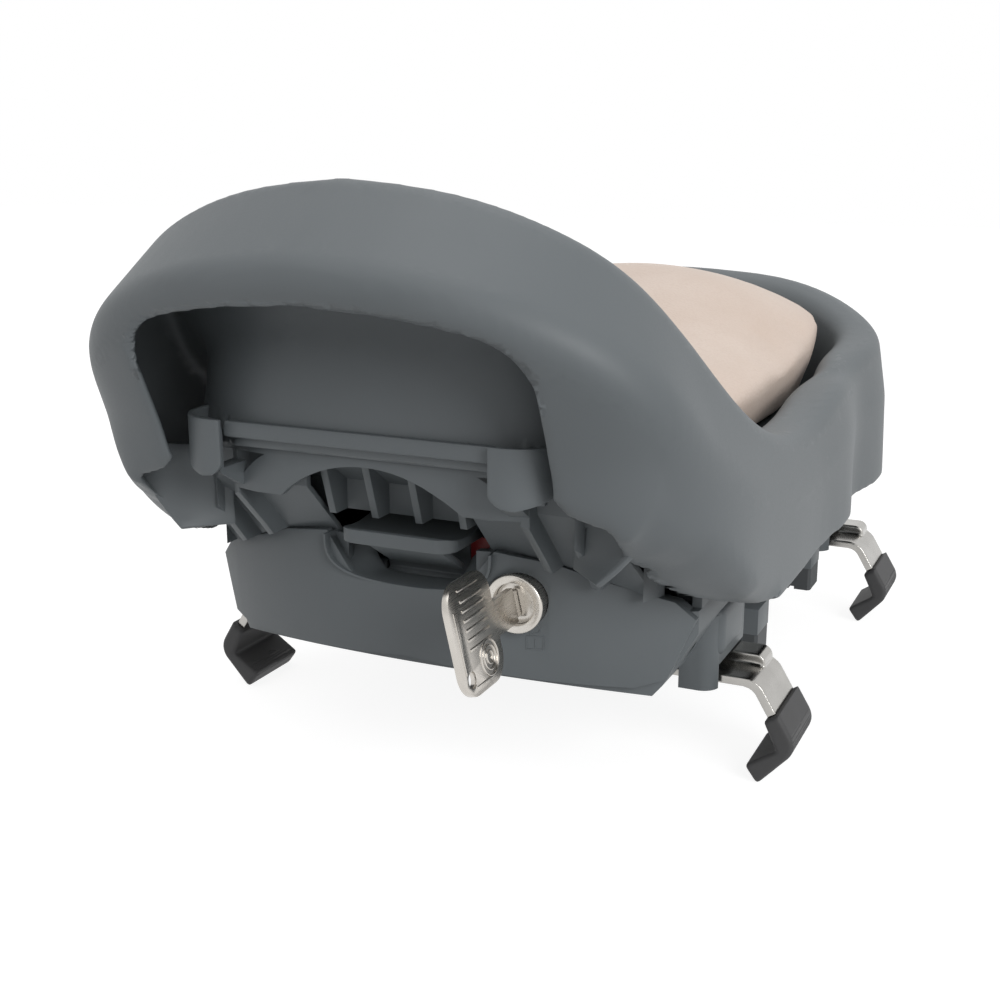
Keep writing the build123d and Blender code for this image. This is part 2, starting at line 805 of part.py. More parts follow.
def make_lower_casing():
    """Tub under the base with the deck, the drive room below it and the arm knuckles."""
    deck = deck_height + deck_wall
    high = base_split_height + cut_overrun
    middle_half = half_length
    casing = plan_plate(house_plan(0), casing_sole_height, base_split_height)
    casing &= front_plate(casing_section(base_split_height), -middle_half, middle_half)
    casing &= side_plate(casing_profile(base_split_height), -base_half, base_half)
    cavity = plan_plate(house_plan(housing_wall), deck, high)
    cavity &= front_plate(offset(casing_section(high + housing_wall), amount=-housing_wall), -middle_half, middle_half)
    cavity &= side_plate(offset(casing_profile(high + housing_wall), amount=-housing_wall), -base_half, base_half)
    casing -= cavity
    casing -= box_between(
        -lever_opening_half, lever_opening_half, -fascia_bow_rear, -pan_floor_rear, casing_knuckle_height, high
    )
    casing -= long_rod(lock_x, -half_length, -middle_rib_front, lock_height, lock_radius + clip_rise + flat_gap)

    house = plan_plate(house_plan(0), 0, hoop_height)
    for middle in arm_middles():
        for side in (-1, 1):
            near, far = side * (casing_chine_half - housing_wall), side * base_half
            knuckle = box_between(
                near, far, middle - knuckle_length / 2, middle + knuckle_length / 2,
                knuckle_sole_height, knuckle_top_height,
            )
            outer = knuckle.edges().filter_by(Axis.Z).sort_by(lambda e: abs(e.center().X))[-2:]
            casing += fillet(outer, knuckle_corner / 2) & house
    for place in (pad_rear_place, pad_rear_place + pad_spacing):
        for side in (-1, 1):
            near, far = side * pad_inner_x, side * (pad_inner_x + pad_length)
            casing += box_between(near, far, place, place + pad_width, casing_sole_height, deck_height)
    section = front_plate(casing_section(base_split_height), -middle_half, middle_half)
    for number in range(casing_screw_count):
        y = casing_screw_rear + casing_screw_pitch * number
        for side in (-1, 1):
            x, radius = side * casing_screw_x, boss_radius + shell_wall / 2
            casing += upright_rod(x, y, casing_chine_height, base_split_height, radius) & section & house

    floor = strip_floor - running_gap
    rails_rear = arm_middles()[0] - arm_width / 2 - rail_end_gap * 2
    rails_front = arm_middles()[1] + arm_width / 2 + rail_end_gap * 2
    room_half = rail_outer_x + flat_gap
    casing -= box_between(-room_half, room_half, rails_rear, rails_front, floor, deck_height)
    for middle in arm_middles():
        reach = arm_width / 2 + arm_side_gap * 3
        for side in (-1, 1):
            near, far = side * (cover_half + cover_ledge / 2), side * (base_half + cut_overrun)
            casing -= box_between(near, far, middle - reach, middle + reach, 0, deck_height)
    hatch = box_between(-cover_half, cover_half, -cover_rear, cover_front, 0, floor)
    casing -= fillet(hatch.edges().filter_by(Axis.Z), cover_corner)
    for y in cover_screw_places:
        casing += upright_rod(0, y, casing_sole_height + cover_wall + seat_gap, deck_height, boss_radius)
    casing -= upright_rod(0, gear_place, 0, hoop_height, shaft_radius + running_gap)

    for side in (-1, 1):
        near, far = side * lever_ear_inner, side * (lever_ear_inner + lever_ear_wall)
        casing += box_between(
            near, far, -lever_pin_rear - lever_ear_half_depth, -lever_pin_rear + lever_ear_half_depth,
            deck_height, lever_pin_height,
        ) + cross_rod(near, far, -lever_pin_rear, lever_pin_height, lever_ear_half_depth)
        for place in guide_rear_places:
            near, far = side * (slider_width / 2 + running_gap), side * (slider_width / 2 + guide_wall)
            casing += box_between(near, far, -place, -place + guide_length, deck_height, deck + guide_height)
            near, lip_foot = side * slider_width / 4, deck + slider_wall + running_gap * 2
            casing += box_between(near, far, -place, -place + guide_length, lip_foot, deck + guide_height)
        x = side * fascia_screw_x
        boss = long_rod(x, -fascia_bow_rear, -fascia_screw_seat, fascia_screw_height, boss_radius)
        casing += boss & plan_plate(house_plan(0), 0, hoop_height)
    casing += box_between(
        spring_x - spring_seat_half, spring_x + spring_seat_half, -spring_rear + spring_length,
        -spring_rear + spring_length + spring_seat_wall, deck_height, deck + spring_seat_half * 2,
    )
    casing -= cross_rod(-base_half, base_half, -lever_pin_rear, lever_pin_height, lever_pin_radius + running_gap)
    room = Part()
    for screw in casing_screws(running_gap) + cover_screws(running_gap) + fascia_screws(running_gap):
        room += screw
    return casing - room


def cover_screws(grow):
    """Screws from below that hold the bottom cover along its middle."""
    screws = []
    for y in cover_screw_places:
        seat = casing_sole_height + screw_head_wall / 2
        tip = casing_sole_height + cover_wall + cover_screw_bite + grow
        screw = upright_rod(0, y, casing_sole_height, seat, screw_head_radius + grow)
        screws.append(screw + upright_rod(0, y, seat, tip, screw_radius + grow))
    return screws


def fascia_screws(grow):
    """Screws from inside the casing into the back of the rear cover."""
    screws = []
    for side in (-1, 1):
        x, z, seat = side * fascia_screw_x, fascia_screw_height, -fascia_screw_seat
        screw = long_rod(x, seat, seat + screw_head_wall, z, screw_head_radius + grow)
        screws.append(screw + long_rod(x, -fascia_screw_tip - grow, seat, z, screw_radius + grow))
    return screws


def make_bottom_cover():
    """Flat plate that closes the drive room from below."""
    half, z = cover_half - seat_gap, casing_sole_height
    cover = box_between(-half, half, -cover_rear + seat_gap, cover_front - seat_gap, z, z + cover_wall)
    cover = fillet(cover.edges().filter_by(Axis.Z), cover_corner)
    for screw in cover_screws(running_gap):
        cover -= screw
    return cover


def make_rear_fascia():
    """Bowed rear cover with the finger recess and the hole for the lock."""
    outer, inner = bow_arc(base_half, 0), bow_arc(base_half, fascia_wall)
    band = make_face(outer + inner + Line(outer @ 0, inner @ 0) + Line(outer @ 1, inner @ 1))
    right = fascia_points(0) + [
        (fascia_heel_half, fascia_heel_height),
        (fascia_toe_half, fascia_toe_height),
        (0, fascia_foot_height),
    ]
    left = [(-x, z) for x, z in reversed(right[1:-1])]
    fascia = plan_plate(band, 0, hoop_height) & front_plate(outline(right + left), -half_length, 0)
    recess = outline([
        (-recess_top_half, fascia_top_height + cut_overrun),
        (-recess_top_half, fascia_top_height),
        (-recess_foot_half, recess_foot_height),
        (recess_foot_half, recess_foot_height),
        (recess_top_half, fascia_top_height),
        (recess_top_half, fascia_top_height + cut_overrun),
    ])
    recess = fillet(recess.vertices().filter_by(lambda v: v.Y < fascia_shoulder_height + cut_overrun), recess_radius)
    fascia -= front_plate(recess, -half_length, 0)
    fascia -= long_rod(lock_x, -half_length, 0, lock_height, lock_radius + seat_gap)
    for screw in fascia_screws(running_gap):
        fascia -= screw
    return fascia


def arm_path(bend_start):
    """Middle line of an arm from its inner end over the bend to the claw."""
    level = strip_floor + arm_wall / 2
    end = ((claw_top_outer_x + claw_top_inner_x) / 2, (claw_top_outer_z + claw_top_inner_z) / 2)
    return FilletPolyline((bend_start, 0, level), (arm_bend_x, 0, level), (end[0], 0, end[1]), radius=arm_bend_radius)


def core_path():
    """Middle line of the flat hook inside the rubber, from the arm's end to the tip."""
    start = ((claw_top_outer_x + claw_top_inner_x) / 2, (claw_top_outer_z + claw_top_inner_z) / 2)
    return FilletPolyline(
        (start[0], 0, start[1]), (core_knee_x, 0, claw_bulge_z), (core_tip_x, 0, core_tip_z), radius=claw_corner / 2
    )


def strap(path, width, wall):
    """A flat strap swept along a path that lies in X and Z."""
    start = Plane(origin=path @ 0, x_dir=(0, 1, 0), z_dir=path % 0)
    return sweep(start * Rectangle(width, wall), path=path)


def make_arm(middle):
    """Right arm: flat strip, bend, raised bead and the hook that the rubber sits on."""
    arm = strap(arm_path(arm_inner_x), arm_width, arm_wall) + strap(core_path(), core_width, claw_core_wall)
    top = strip_floor + arm_wall
    bead_far = arm_width / 2 - claw_edge
    bead = box_between(
        bead_inner_x, arm_bend_x, bead_far - bead_width, bead_far, top - arm_wall / 2, top + bead_rise
    )
    bead = fillet(bead.edges().filter_by(Axis.Y).group_by(Axis.Z)[-1].sort_by(Axis.X)[-1], bead_rise)
    arm += bead
    for shift in (-rivet_pitch / 2, rivet_pitch / 2):
        x = rail_outer_x - rail_width / 2
        arm -= upright_rod(x, shift, 0, hoop_height, rivet_radius + running_gap)
    return Pos(0, middle, 0) * arm


def make_claw_pad(middle):
    """Right rubber claw with its open throat, moulded over the hook."""
    claw = outline([
        (claw_top_outer_x, claw_top_outer_z),
        (claw_bulge_x, claw_bulge_z),
        (claw_sole_x, claw_sole_z),
        (claw_tip_x, claw_tip_z),
        (claw_throat_x, claw_throat_z),
        (claw_top_inner_x, claw_top_inner_z),
    ])
    bulge = claw.vertices().sort_by(Axis.X)[-1]
    claw = fillet(bulge, claw_corner)
    others = claw.vertices().filter_by(lambda v: v.X < claw_throat_x - seat_gap)
    claw = fillet(others, claw_small_corner)
    pad = front_plate(claw, -claw_width / 2, claw_width / 2)
    ends = pad.faces().filter_by(Axis.Y).edges()
    pad = chamfer(ends, claw_edge)
    gap = seat_gap * 2
    pad -= strap(core_path(), core_width + gap, claw_core_wall + gap)
    pad -= strap(arm_path(arm_bend_x - claw_corner), arm_width + gap, arm_wall + gap)
    return Pos(0, middle, 0) * pad


def make_slide_rail(rack_way):
    """Right rail for a rack in front of the pinion (1) or behind it (-1)."""
    inner, top = rail_outer_x - rail_width, strip_floor + arm_wall
    rear = arm_middles()[0] - arm_width / 2
    front = arm_middles()[1] + arm_width / 2
    rail = box_between(inner, rail_outer_x, rear, front, top, top + rack_wall)
    rail = chamfer(rail.edges().filter_by(Axis.Z), screw_head_wall)
    for x, y in rivet_places(rack_way):
        rail -= upright_rod(x, y, 0, hoop_height, rivet_radius + running_gap)
    return rail


def rack_back_line():
    """How far from the pinion's axis the rack's back lies."""
    return gear_module * gear_teeth / 2 + gear_module * gear_root_share + rack_back


def rivet_places(rack_way):
    """Where the right rail is riveted to its two arms and to its rack."""
    x = rail_outer_x - rail_width / 2
    places = [(x, middle + shift) for middle in arm_middles() for shift in (-rivet_pitch / 2, rivet_pitch / 2)]
    return places + [(x, gear_place + rack_way * (rack_back_line() - rack_back / 2))]


def make_rivets(rack_way):
    """The right rail's rivets."""
    foot, top = strip_floor, strip_floor + arm_wall + rack_wall
    rivets = []
    for x, y in rivet_places(rack_way):
        rivet = upright_rod(x, y, foot, top, rivet_radius)
        rivets.append(rivet + upright_rod(x, y, top, top + rivet_head_wall, rivet_head_radius))
    return Compound(children=rivets)


def make_rack():
    """Right rack on the front side of the pinion."""
    pitch, radius = pi * gear_module, gear_module * gear_teeth / 2
    tip = gear_place + radius - gear_module * gear_tip_share
    root = gear_place + radius + gear_module * gear_root_share
    back = gear_place + rack_back_line()
    inner, top = rail_outer_x - rail_width, strip_floor + rack_wall
    rack = box_between(-rack_reach, rail_outer_x, root, back, strip_floor, top)
    half_tip, half_root = pitch * gear_flank_share / 2, pitch * (gear_tooth_share + gear_flank_share) / 2
    for number in range(int(inner / pitch)):
        x = (number + 1 / 2) * pitch
        tooth = make_face(Polyline((x - half_root, root), (x - half_tip, tip), (x + half_tip, tip),
                                   (x + half_root, root), close=True))
        rack += plan_plate(tooth, strip_floor, top)
    x, y = rivet_places(1)[-1]
    half = rack_root_width / 2
    rack += box_between(inner, rail_outer_x, y - half, y + half, strip_floor, strip_floor + arm_wall)
    return rack - upright_rod(x, y, 0, hoop_height, rivet_radius + running_gap)


def wheel_face(points_by_angle):
    """A closed face through (radius, angle in degrees) points around the pinion's axis."""
    return make_face(Polyline(*[
        (radius * cos(radians(angle)), gear_place + radius * sin(radians(angle))) for radius, angle in points_by_angle
    ], close=True))


def make_drive_pinion():
    """Pinion between the two racks."""
    radius, step = gear_module * gear_teeth / 2, 360 / gear_teeth
    tip, root = radius + gear_module * gear_tip_share, radius - gear_module * gear_root_share
    points = []
    for number in range(gear_teeth):
        angle = number * step
        for side, share, size in ((-1, gear_root_angle_share, root), (-1, gear_tip_angle_share, tip),
                                  (1, gear_tip_angle_share, tip), (1, gear_root_angle_share, root)):
            points.append((size, angle + side * share * step / 2))
    pinion = plan_plate(wheel_face(points), strip_floor, strip_floor + rack_wall)
    return pinion - upright_rod(0, gear_place, 0, hoop_height, shaft_radius + running_gap)


def make_ratchet_wheel():
    """Saw-toothed wheel above the deck, on the pinion's shaft."""
    step, foot = 360 / ratchet_teeth, deck_height + deck_wall + flat_gap
    points = []
    for number in range(ratchet_teeth):
        angle = number * step - 90 - ratchet_phase_share * step
        points += [(ratchet_radius, angle), (ratchet_radius - ratchet_depth, angle + step)]
    wheel = plan_plate(wheel_face(points), foot, foot + ratchet_wall)
    return wheel - upright_rod(0, gear_place, 0, hoop_height, shaft_radius + running_gap)


def make_pinion_shaft():
    """Headed shaft through pinion, deck and ratchet wheel."""
    top = deck_height + deck_wall + flat_gap + ratchet_wall
    shaft = upright_rod(0, gear_place, strip_floor, top, shaft_radius)
    return shaft + upright_rod(0, gear_place, top, top + shaft_head_wall, shaft_head_radius)


def make_lock_slider():
    """Slider on the deck: lever stand, pawl, wing under the lock and spring tab."""
    foot, rear = deck_height + deck_wall + running_gap, -lever_pin_rear + lever_web_wall / 2 + seat_gap
    top, half = foot + slider_wall, slider_width / 2
    step = 360 / ratchet_teeth
    floor_radius = ratchet_radius - ratchet_depth
    face_angle = radians(-90 + (1 - ratchet_phase_share) * step)
    far_angle = radians(-90 - ratchet_phase_share * step + step / 4)
    shoulder = gear_place - ratchet_radius - half - slider_throw
    near_radius = floor_radius + ratchet_depth - pawl_depth
    far_radius = ratchet_radius + flat_gap
    pawl = make_face(Polyline(
        (-half, rear),
        (half, rear),
        (half, shoulder),
        (near_radius * cos(face_angle) - seat_gap * 2, gear_place - ratchet_radius - flat_gap - slider_throw),
        (near_radius * cos(face_angle) - seat_gap * 2, gear_place + near_radius * sin(face_angle) - slider_throw),
        (far_radius * cos(far_angle), gear_place + far_radius * sin(far_angle) - slider_throw),
        (-half, shoulder),
        close=True,
    ))
    slider = plan_plate(pawl, foot, top)
    slider += box_between(-half, half, rear, rear + slider_stand_wall, foot, slider_stand_height)
    slider += box_between(0, wing_reach, -wing_rear, -wing_rear + wing_depth, foot, top)
    slider += box_between(
        wing_reach - slider_width / 2, wing_reach, -wing_rear, -wing_rear + slider_stand_wall, foot, wing_stand_height
    )
    tab_far = spring_x - spring_seat_half
    slider += box_between(
        tab_far, -half / 2, -spring_rear - spring_seat_wall, -spring_rear, foot, foot + spring_seat_half * 2
    )
    return slider


def make_coil(radius, wire, length, turns):
    """A round-wire coil along Z from the origin."""
    path = Helix(pitch=(length - wire) / turns, height=length - wire, radius=radius - wire / 2)
    start = Plane(origin=path @ 0, z_dir=path % 0)
    return Pos(0, 0, wire / 2) * sweep(start * Circle(wire / 2), path=path)


def make_slider_spring():
    """Compression spring between the slider's tab and its stop on the deck."""
    coil = make_coil(spring_radius, spring_wire, spring_length - seat_gap * 2, spring_turns)
    height = deck_height + deck_wall + spring_seat_half
    return Pos(spring_x, -spring_rear + seat_gap, height) * Rot(-90, 0, 0) * coil


def make_lever_spring():
    """Small coil on the end of the lever's pin."""
    length = lever_pin_length / 2 - lever_ear_inner - lever_ear_wall - seat_gap * 2
    coil = make_coil(torsion_radius, spring_wire, length, torsion_turns)
    far = -lever_pin_length / 2 + seat_gap
    return Pos(far, -lever_pin_rear, lever_pin_height) * Rot(0, 90, 0) * coil


def make_release_lever():
    """Paddle, web, hub and the finger that pushes the slider."""
    half, top = paddle_width / 2, paddle_top_height
    front = -paddle_rear + paddle_depth
    paddle = box_between(-half, half, -paddle_rear, front, top - paddle_wall, top)
    paddle = fillet(paddle.edges().filter_by(Axis.Z).group_by(Axis.Y)[0], paddle_corner)
    middle = -paddle_rear + paddle_depth / 2
    paddle -= cross_rod(-half * 2, half * 2, middle, top + paddle_dish_radius - paddle_dish_depth, paddle_dish_radius)
    web_half, web = lever_web_width / 2, lever_web_wall / 2
    paddle += side_plate(outline([
        (front - web * 2, top - paddle_wall / 2),
        (front, top - paddle_wall / 2),
        (-lever_pin_rear + web, lever_pin_height),
        (-lever_pin_rear - web, lever_pin_height),
    ]), -web_half, web_half)
    paddle += cross_rod(-web_half, web_half, -lever_pin_rear, lever_pin_height, lever_hub_radius)
    paddle += box_between(
        -lever_finger_width / 2, lever_finger_width / 2, -lever_pin_rear - web, -lever_pin_rear + web,
        lever_finger_height, lever_pin_height,
    )
    return paddle - cross_rod(-half, half, -lever_pin_rear, lever_pin_height, lever_pin_radius + running_gap)


def make_state_flag():
    """Small plate beside the lever's web that shows when the clamp is open."""
    near, y = lever_web_width / 2, -lever_pin_rear - lever_hub_radius
    flag = box_between(near, near + flag_width, y, y + flag_wall, flag_foot_height, flag_foot_height + flag_height)
    return flag


def make_lever_pin():
    """Plain pin of the lever."""
    half = lever_pin_length / 2
    return cross_rod(-half, half, -lever_pin_rear, lever_pin_height, lever_pin_radius)


def make_lock_housing():
    """Tube of the lock with its flange on the rear cover."""
    rear, front = -lock_face_rear, -lock_face_rear + lock_length
    tube = long_rod(lock_x, rear, front, lock_height, lock_radius)
    tube += long_rod(lock_x, rear - lock_flange, rear, lock_height, lock_radius + lock_flange_rise)
    tube = chamfer(tube.faces().sort_by(Axis.Y)[0].outer_wire().edges(), lock_flange_rise)
    return tube - long_rod(lock_x, rear - cut_overrun, front + cut_overrun, lock_height, plug_radius + running_gap)


def make_lock_clip():
    """Horseshoe clip that holds the lock from inside."""
    outer = lock_radius + clip_rise
    rear = -lock_face_rear + lock_length / 2
    clip = long_rod(lock_x, rear, rear + clip_wall, lock_height, outer)
    clip -= long_rod(lock_x, -half_length, 0, lock_height, lock_radius + running_gap)
    return clip - box_between(
        lock_x - clip_mouth / 2, lock_x + clip_mouth / 2, rear, rear + clip_wall, 0, lock_height
    )


def in_lock(shape):
    """Places a shape drawn around the Y axis onto the lock's axis, leaning as the key does."""
    return Pos(lock_x, 0, lock_height) * Rot(0, -key_tilt, 0) * shape


def blade(grow):
    """The key's blade, or with grow the slot for it."""
    half, wall = key_blade_height / 2 + grow, key_wall / 2 + grow
    rear = -lock_face_rear + plug_face_step
    return box_between(-wall, wall, rear, rear + key_blade_length + grow, -half, half)


def make_lock_plug():
    """Turning plug with the key slot and a stub for the cam."""
    rear, front = -lock_face_rear + plug_face_step, -lock_face_rear + lock_length + seat_gap
    plug = long_rod(lock_x, rear, front, lock_height, plug_radius)
    plug += long_rod(lock_x, front, front + cam_wall + nut_wall, lock_height, plug_stub_radius)
    return plug - in_lock(blade(running_gap))


def make_lock_cam():
    """Flat cam on the plug's stub, pointing sideways when the clamp is open."""
    rear = -lock_face_rear + lock_length + seat_gap
    cam = box_between(lock_x, lock_x + cam_length, rear, rear + cam_wall, lock_height - cam_width / 2,
                      lock_height + cam_width / 2)
    cam += long_rod(lock_x, rear, rear + cam_wall, lock_height, nut_radius)
    return cam - long_rod(lock_x, rear, 0, lock_height, plug_stub_radius + running_gap)


def make_cam_nut():
    """Hexagon nut behind the cam."""
    rear = -lock_face_rear + lock_length + seat_gap + cam_wall
    face = RegularPolygon(nut_radius, 6)
    nut = front_plate(face, rear, rear + nut_wall)
    nut = Pos(lock_x, 0, lock_height) * nut
    return nut - long_rod(lock_x, rear, 0, lock_height, plug_stub_radius + running_gap)


def make_key():
    """Shank and rounded bow of the flat key."""
    wall = key_wall / 2
    shank_front = -lock_face_rear - lock_flange - flat_gap
    shank_rear = shank_front - key_shank_length
    key = box_between(-wall, wall, shank_rear, shank_front, -key_shank_height / 2, key_shank_height / 2)
    bow = box_between(
        -wall, wall, shank_rear - key_bow_length, shank_rear, -key_bow_height / 2, key_bow_height / 2
    )
    key += fillet(bow.edges().filter_by(Axis.X), key_bow_corner)
    key -= cross_rod(-wall * 2, wall * 2, shank_rear - key_hole_rear, -key_hole_drop, key_hole_radius)
    return in_lock(key)


def make_key_blade():
    """The key's blade, from the shank into the plug."""
    wall, half = key_wall / 2, key_blade_height / 2
    shank_front = -lock_face_rear - lock_flange - flat_gap
    return in_lock(blade(0) + box_between(-wall, wall, shank_front, plug_face_step - lock_face_rear, -half, half))


# Cushion sections from the rear to the front: place along the seat as a share of cushion_length,
# half widths of edge and foot as shares of cushion_half, then the heights of foot, edge and
# middle as shares of cushion_crown.
cushion_row_shares = [
    (-0.432, 0.50, 0.46, 0.7240, 0.742, 0.772),
    (-0.400, 0.70, 0.64, 0.6950, 0.752, 0.790),
    (-0.320, 0.86, 0.80, 0.6480, 0.764, 0.802),
    (-0.120, 0.98, 0.92, 0.6448, 0.768, 0.824),
    (0.080, 1.03, 0.945, 0.6448, 0.780, 0.878),
    (0.270, 1.04, 0.945, 0.6448, 0.796, 0.955),
    (0.430, 1.02, 0.90, 0.6448, 0.840, 0.998),
    (0.515, 0.93, 0.74, 0.6600, 0.868, 0.985),
    (0.575, 0.72, 0.50, 0.7400, 0.885, 0.945),
]


def make_seat_cushion():
    """Saddle-shaped seat pad: crowned top, sides drawn in towards the floor."""
    rows = [cushion_row_shares[0]] + cushion_row_shares + [cushion_row_shares[-1]]
    places = [row[0] for row in rows]
    runs = [max(after - before, places[2] - places[1]) for before, after in zip(places, places[1:])]
    sections = []
    for share_y, share_half, share_toe, share_foot, share_edge, share_middle in finer_rows(rows, runs, 2, 0, 0):
        half, toe, foot = share_half * cushion_half, share_toe * cushion_half, share_foot * cushion_crown
        edge, middle = share_edge * cushion_crown, share_middle * cushion_crown
        crown = ThreePointArc((-half, edge), (0, middle), (half, edge))
        rest = Polyline(crown @ 1, (toe, foot), (-toe, foot), crown @ 0)
        section = make_face(crown + rest)
        corners = section.vertices().sort_by(Axis.Y)[-2:]
        section = fillet(corners, min(cushion_edge, (edge - foot) / 2))
        sections.append(Plane.XZ.offset(-share_y * cushion_length) * section)
    return loft(sections)


def make_rack_pad_set():
    """Four grooved rubber pads under the casing that rest on the rack."""
    pads = []
    for place in (pad_rear_place, pad_rear_place + pad_spacing):
        for side in (-1, 1):
            near, far = side * pad_inner_x, side * (pad_inner_x + pad_length)
            pad = box_between(near, far, place, place + pad_width, pad_sole_height, casing_sole_height)
            pad = chamfer(pad.edges().filter_by(Axis.Z), screw_head_wall / 2)
            for number in range(pad_groove_count):
                x = side * (pad_inner_x + pad_groove_pitch * (number + 1))
                pad -= box_between(
                    x - pad_groove_width / 2, x + pad_groove_width / 2, place, place + pad_width,
                    pad_sole_height, pad_sole_height + pad_groove_depth,
                )
            pads.append(pad)
    return Compound(children=pads)


save(make_seat_shell(), "seat_shell")
save(make_ribbed_base(), "ribbed_base")
save(make_lower_casing(), "lower_casing")
save(make_bottom_cover(), "bottom_cover")
save(make_rear_fascia(), "rear_fascia")
save(make_seat_cushion(), "seat_cushion")
save(make_rack_pad_set(), "rack_pad_set")
save(Compound(children=shell_screws(0)), "shell_screws")
save(Compound(children=casing_screws(0)), "casing_screws")
save(Compound(children=cover_screws(0)), "cover_screws")
save(Compound(children=fascia_screws(0)), "fascia_screws")

rear_middle, front_middle = arm_middles()
right_side = {
    "rear_arm": make_arm(rear_middle),
    "front_arm": make_arm(front_middle),
    "rear_claw_pad": make_claw_pad(rear_middle),
    "front_claw_pad": make_claw_pad(front_middle),
}
for name, solid in right_side.items():
    save(solid, f"right_{name}")
    save(mirrored(solid), f"left_{name}")
save(make_slide_rail(1), "right_slide_rail")
save(mirrored(make_slide_rail(-1)), "left_slide_rail")
save(make_rivets(1), "right_rivets")
save(mirrored(make_rivets(-1)), "left_rivets")
right_rack = make_rack()
save(right_rack, "right_rack")
save(Pos(0, gear_place * 2, 0) * Rot(0, 0, 180) * right_rack, "left_rack")

save(make_drive_pinion(), "drive_pinion")
save(make_ratchet_wheel(), "ratchet_wheel")
save(make_pinion_shaft(), "pinion_shaft")
save(make_lock_slider(), "lock_slider")
save(make_slider_spring(), "slider_spring")
save(make_release_lever(), "release_lever")
save(make_state_flag(), "state_flag")
save(make_lever_pin(), "lever_pin")
save(make_lever_spring(), "lever_spring")
save(make_lock_housing(), "lock_housing")
save(make_lock_clip(), "lock_clip")
save(make_lock_plug(), "lock_plug")
save(make_lock_cam(), "lock_cam")
save(make_cam_nut(), "cam_nut")
save(make_key(), "key")
save(make_key_blade(), "key_blade")
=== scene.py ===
"""Visual model of a rack-mounted bicycle child seat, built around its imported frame."""

from __future__ import annotations

import logging
import math
from dataclasses import dataclass
from enum import Enum
from typing import Callable, Sequence

import bpy
from bpy.types import Material, Node, NodeSocket, Object
from mathutils import Matrix, Vector


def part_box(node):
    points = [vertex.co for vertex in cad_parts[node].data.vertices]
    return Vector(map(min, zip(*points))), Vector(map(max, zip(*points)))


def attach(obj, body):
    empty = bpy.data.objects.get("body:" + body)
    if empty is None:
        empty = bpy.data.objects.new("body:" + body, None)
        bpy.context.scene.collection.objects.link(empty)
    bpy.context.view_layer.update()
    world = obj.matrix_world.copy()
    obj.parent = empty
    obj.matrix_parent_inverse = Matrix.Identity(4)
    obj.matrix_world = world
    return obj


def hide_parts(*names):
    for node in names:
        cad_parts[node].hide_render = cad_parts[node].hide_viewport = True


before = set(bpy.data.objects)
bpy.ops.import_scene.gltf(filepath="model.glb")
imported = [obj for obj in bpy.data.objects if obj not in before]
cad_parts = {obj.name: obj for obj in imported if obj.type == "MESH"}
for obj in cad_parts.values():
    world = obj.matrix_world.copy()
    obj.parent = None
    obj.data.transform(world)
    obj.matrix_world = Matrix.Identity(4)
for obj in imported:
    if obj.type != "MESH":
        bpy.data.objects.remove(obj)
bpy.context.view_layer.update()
LOG = logging.getLogger("child_seat")
MM = 0.001
# Edges that turn less than this are shaded as one surface
SMOOTH_DEG = 40.0
# Faces that turn less than this count as one flat face
FLAT_DEG = 0.4
# How far a point moves toward its neighbours in one round of smoothing
SMOOTHING = 0.5
# Rim of a sheet: rounding as a share of its wall, and the least turn that is rounded
RIM_SHARE = 0.3
RIM_DEG = 50.0
# Rounding of a raised bar, as a share of its smaller side
BAR_SHARE = 0.45
# Gives a place in millimetres for two shares from 0 to 1
Shape = Callable[[float, float], tuple[float, float, float]]


def linear(hex_colour: str) -> tuple[float, float, float, float]:
    """Turns an sRGB hex colour to the linear values that a shader takes.

    Args:
        hex_colour: Six hex digits, with or without a leading hash.

    Returns:
        Linear red, green, blue and an alpha of one.
    """
    digits = hex_colour.lstrip("#")
    channels = [int(digits[i:i + 2], 16) / 255 for i in (0, 2, 4)]
    values = [c / 12.92 if c <= 0.04045 else ((c + 0.055) / 1.055) ** 2.4 for c in channels]
    return values[0], values[1], values[2], 1.0


def per_mm(size_mm: float) -> float:
    """The scale of a texture on Object coordinates whose feature is size_mm wide."""
    return 1.0 / (size_mm * MM)


def deselect() -> None:
    """Deselects everything."""
    for item in bpy.context.selected_objects:
        item.select_set(False)


def activate(piece: Object) -> None:
    """Makes one piece the only selected and active one.

    Args:
        piece: The object that the next operators act on.
    """
    deselect()
    piece.select_set(True)
    bpy.context.view_layer.objects.active = piece


def apply_modifier(piece: Object, kind: str, **settings: object) -> None:
    """Adds a modifier, sets it and applies it.

    Args:
        piece: The object to change.
        kind: The modifier's type name.
        **settings: Its properties.
    """
    activate(piece)
    bpy.ops.object.modifier_add(type=kind)
    modifier = piece.modifiers[-1]
    for name, value in settings.items():
        setattr(modifier, name, value)
    bpy.ops.object.modifier_apply(modifier=modifier.name)


def fix_place(piece: Object) -> None:
    """Puts a piece's place, turn and size into its mesh.

    Args:
        piece: The object to settle at the origin.
    """
    activate(piece)
    bpy.ops.object.transform_apply(location=True, rotation=True, scale=True)


def add_node(
    tree: bpy.types.NodeTree,
    kind: str,
    settings: dict[str, object] | None = None,
    inputs: dict[str | int, object] | None = None,
) -> Node:
    """Adds a shader node with its settings and links.

    Args:
        tree: The node tree to add to.
        kind: The node's type name.
        settings: Properties of the node.
        inputs: Values for its sockets, or an output socket to link there.

    Returns:
        The new node.
    """
    node = tree.nodes.new(kind)
    for name, value in (settings or {}).items():
        setattr(node, name, value)
    for socket, value in (inputs or {}).items():
        if isinstance(value, NodeSocket):
            tree.links.new(value, node.inputs[socket])
        else:
            node.inputs[socket].default_value = value
    return node


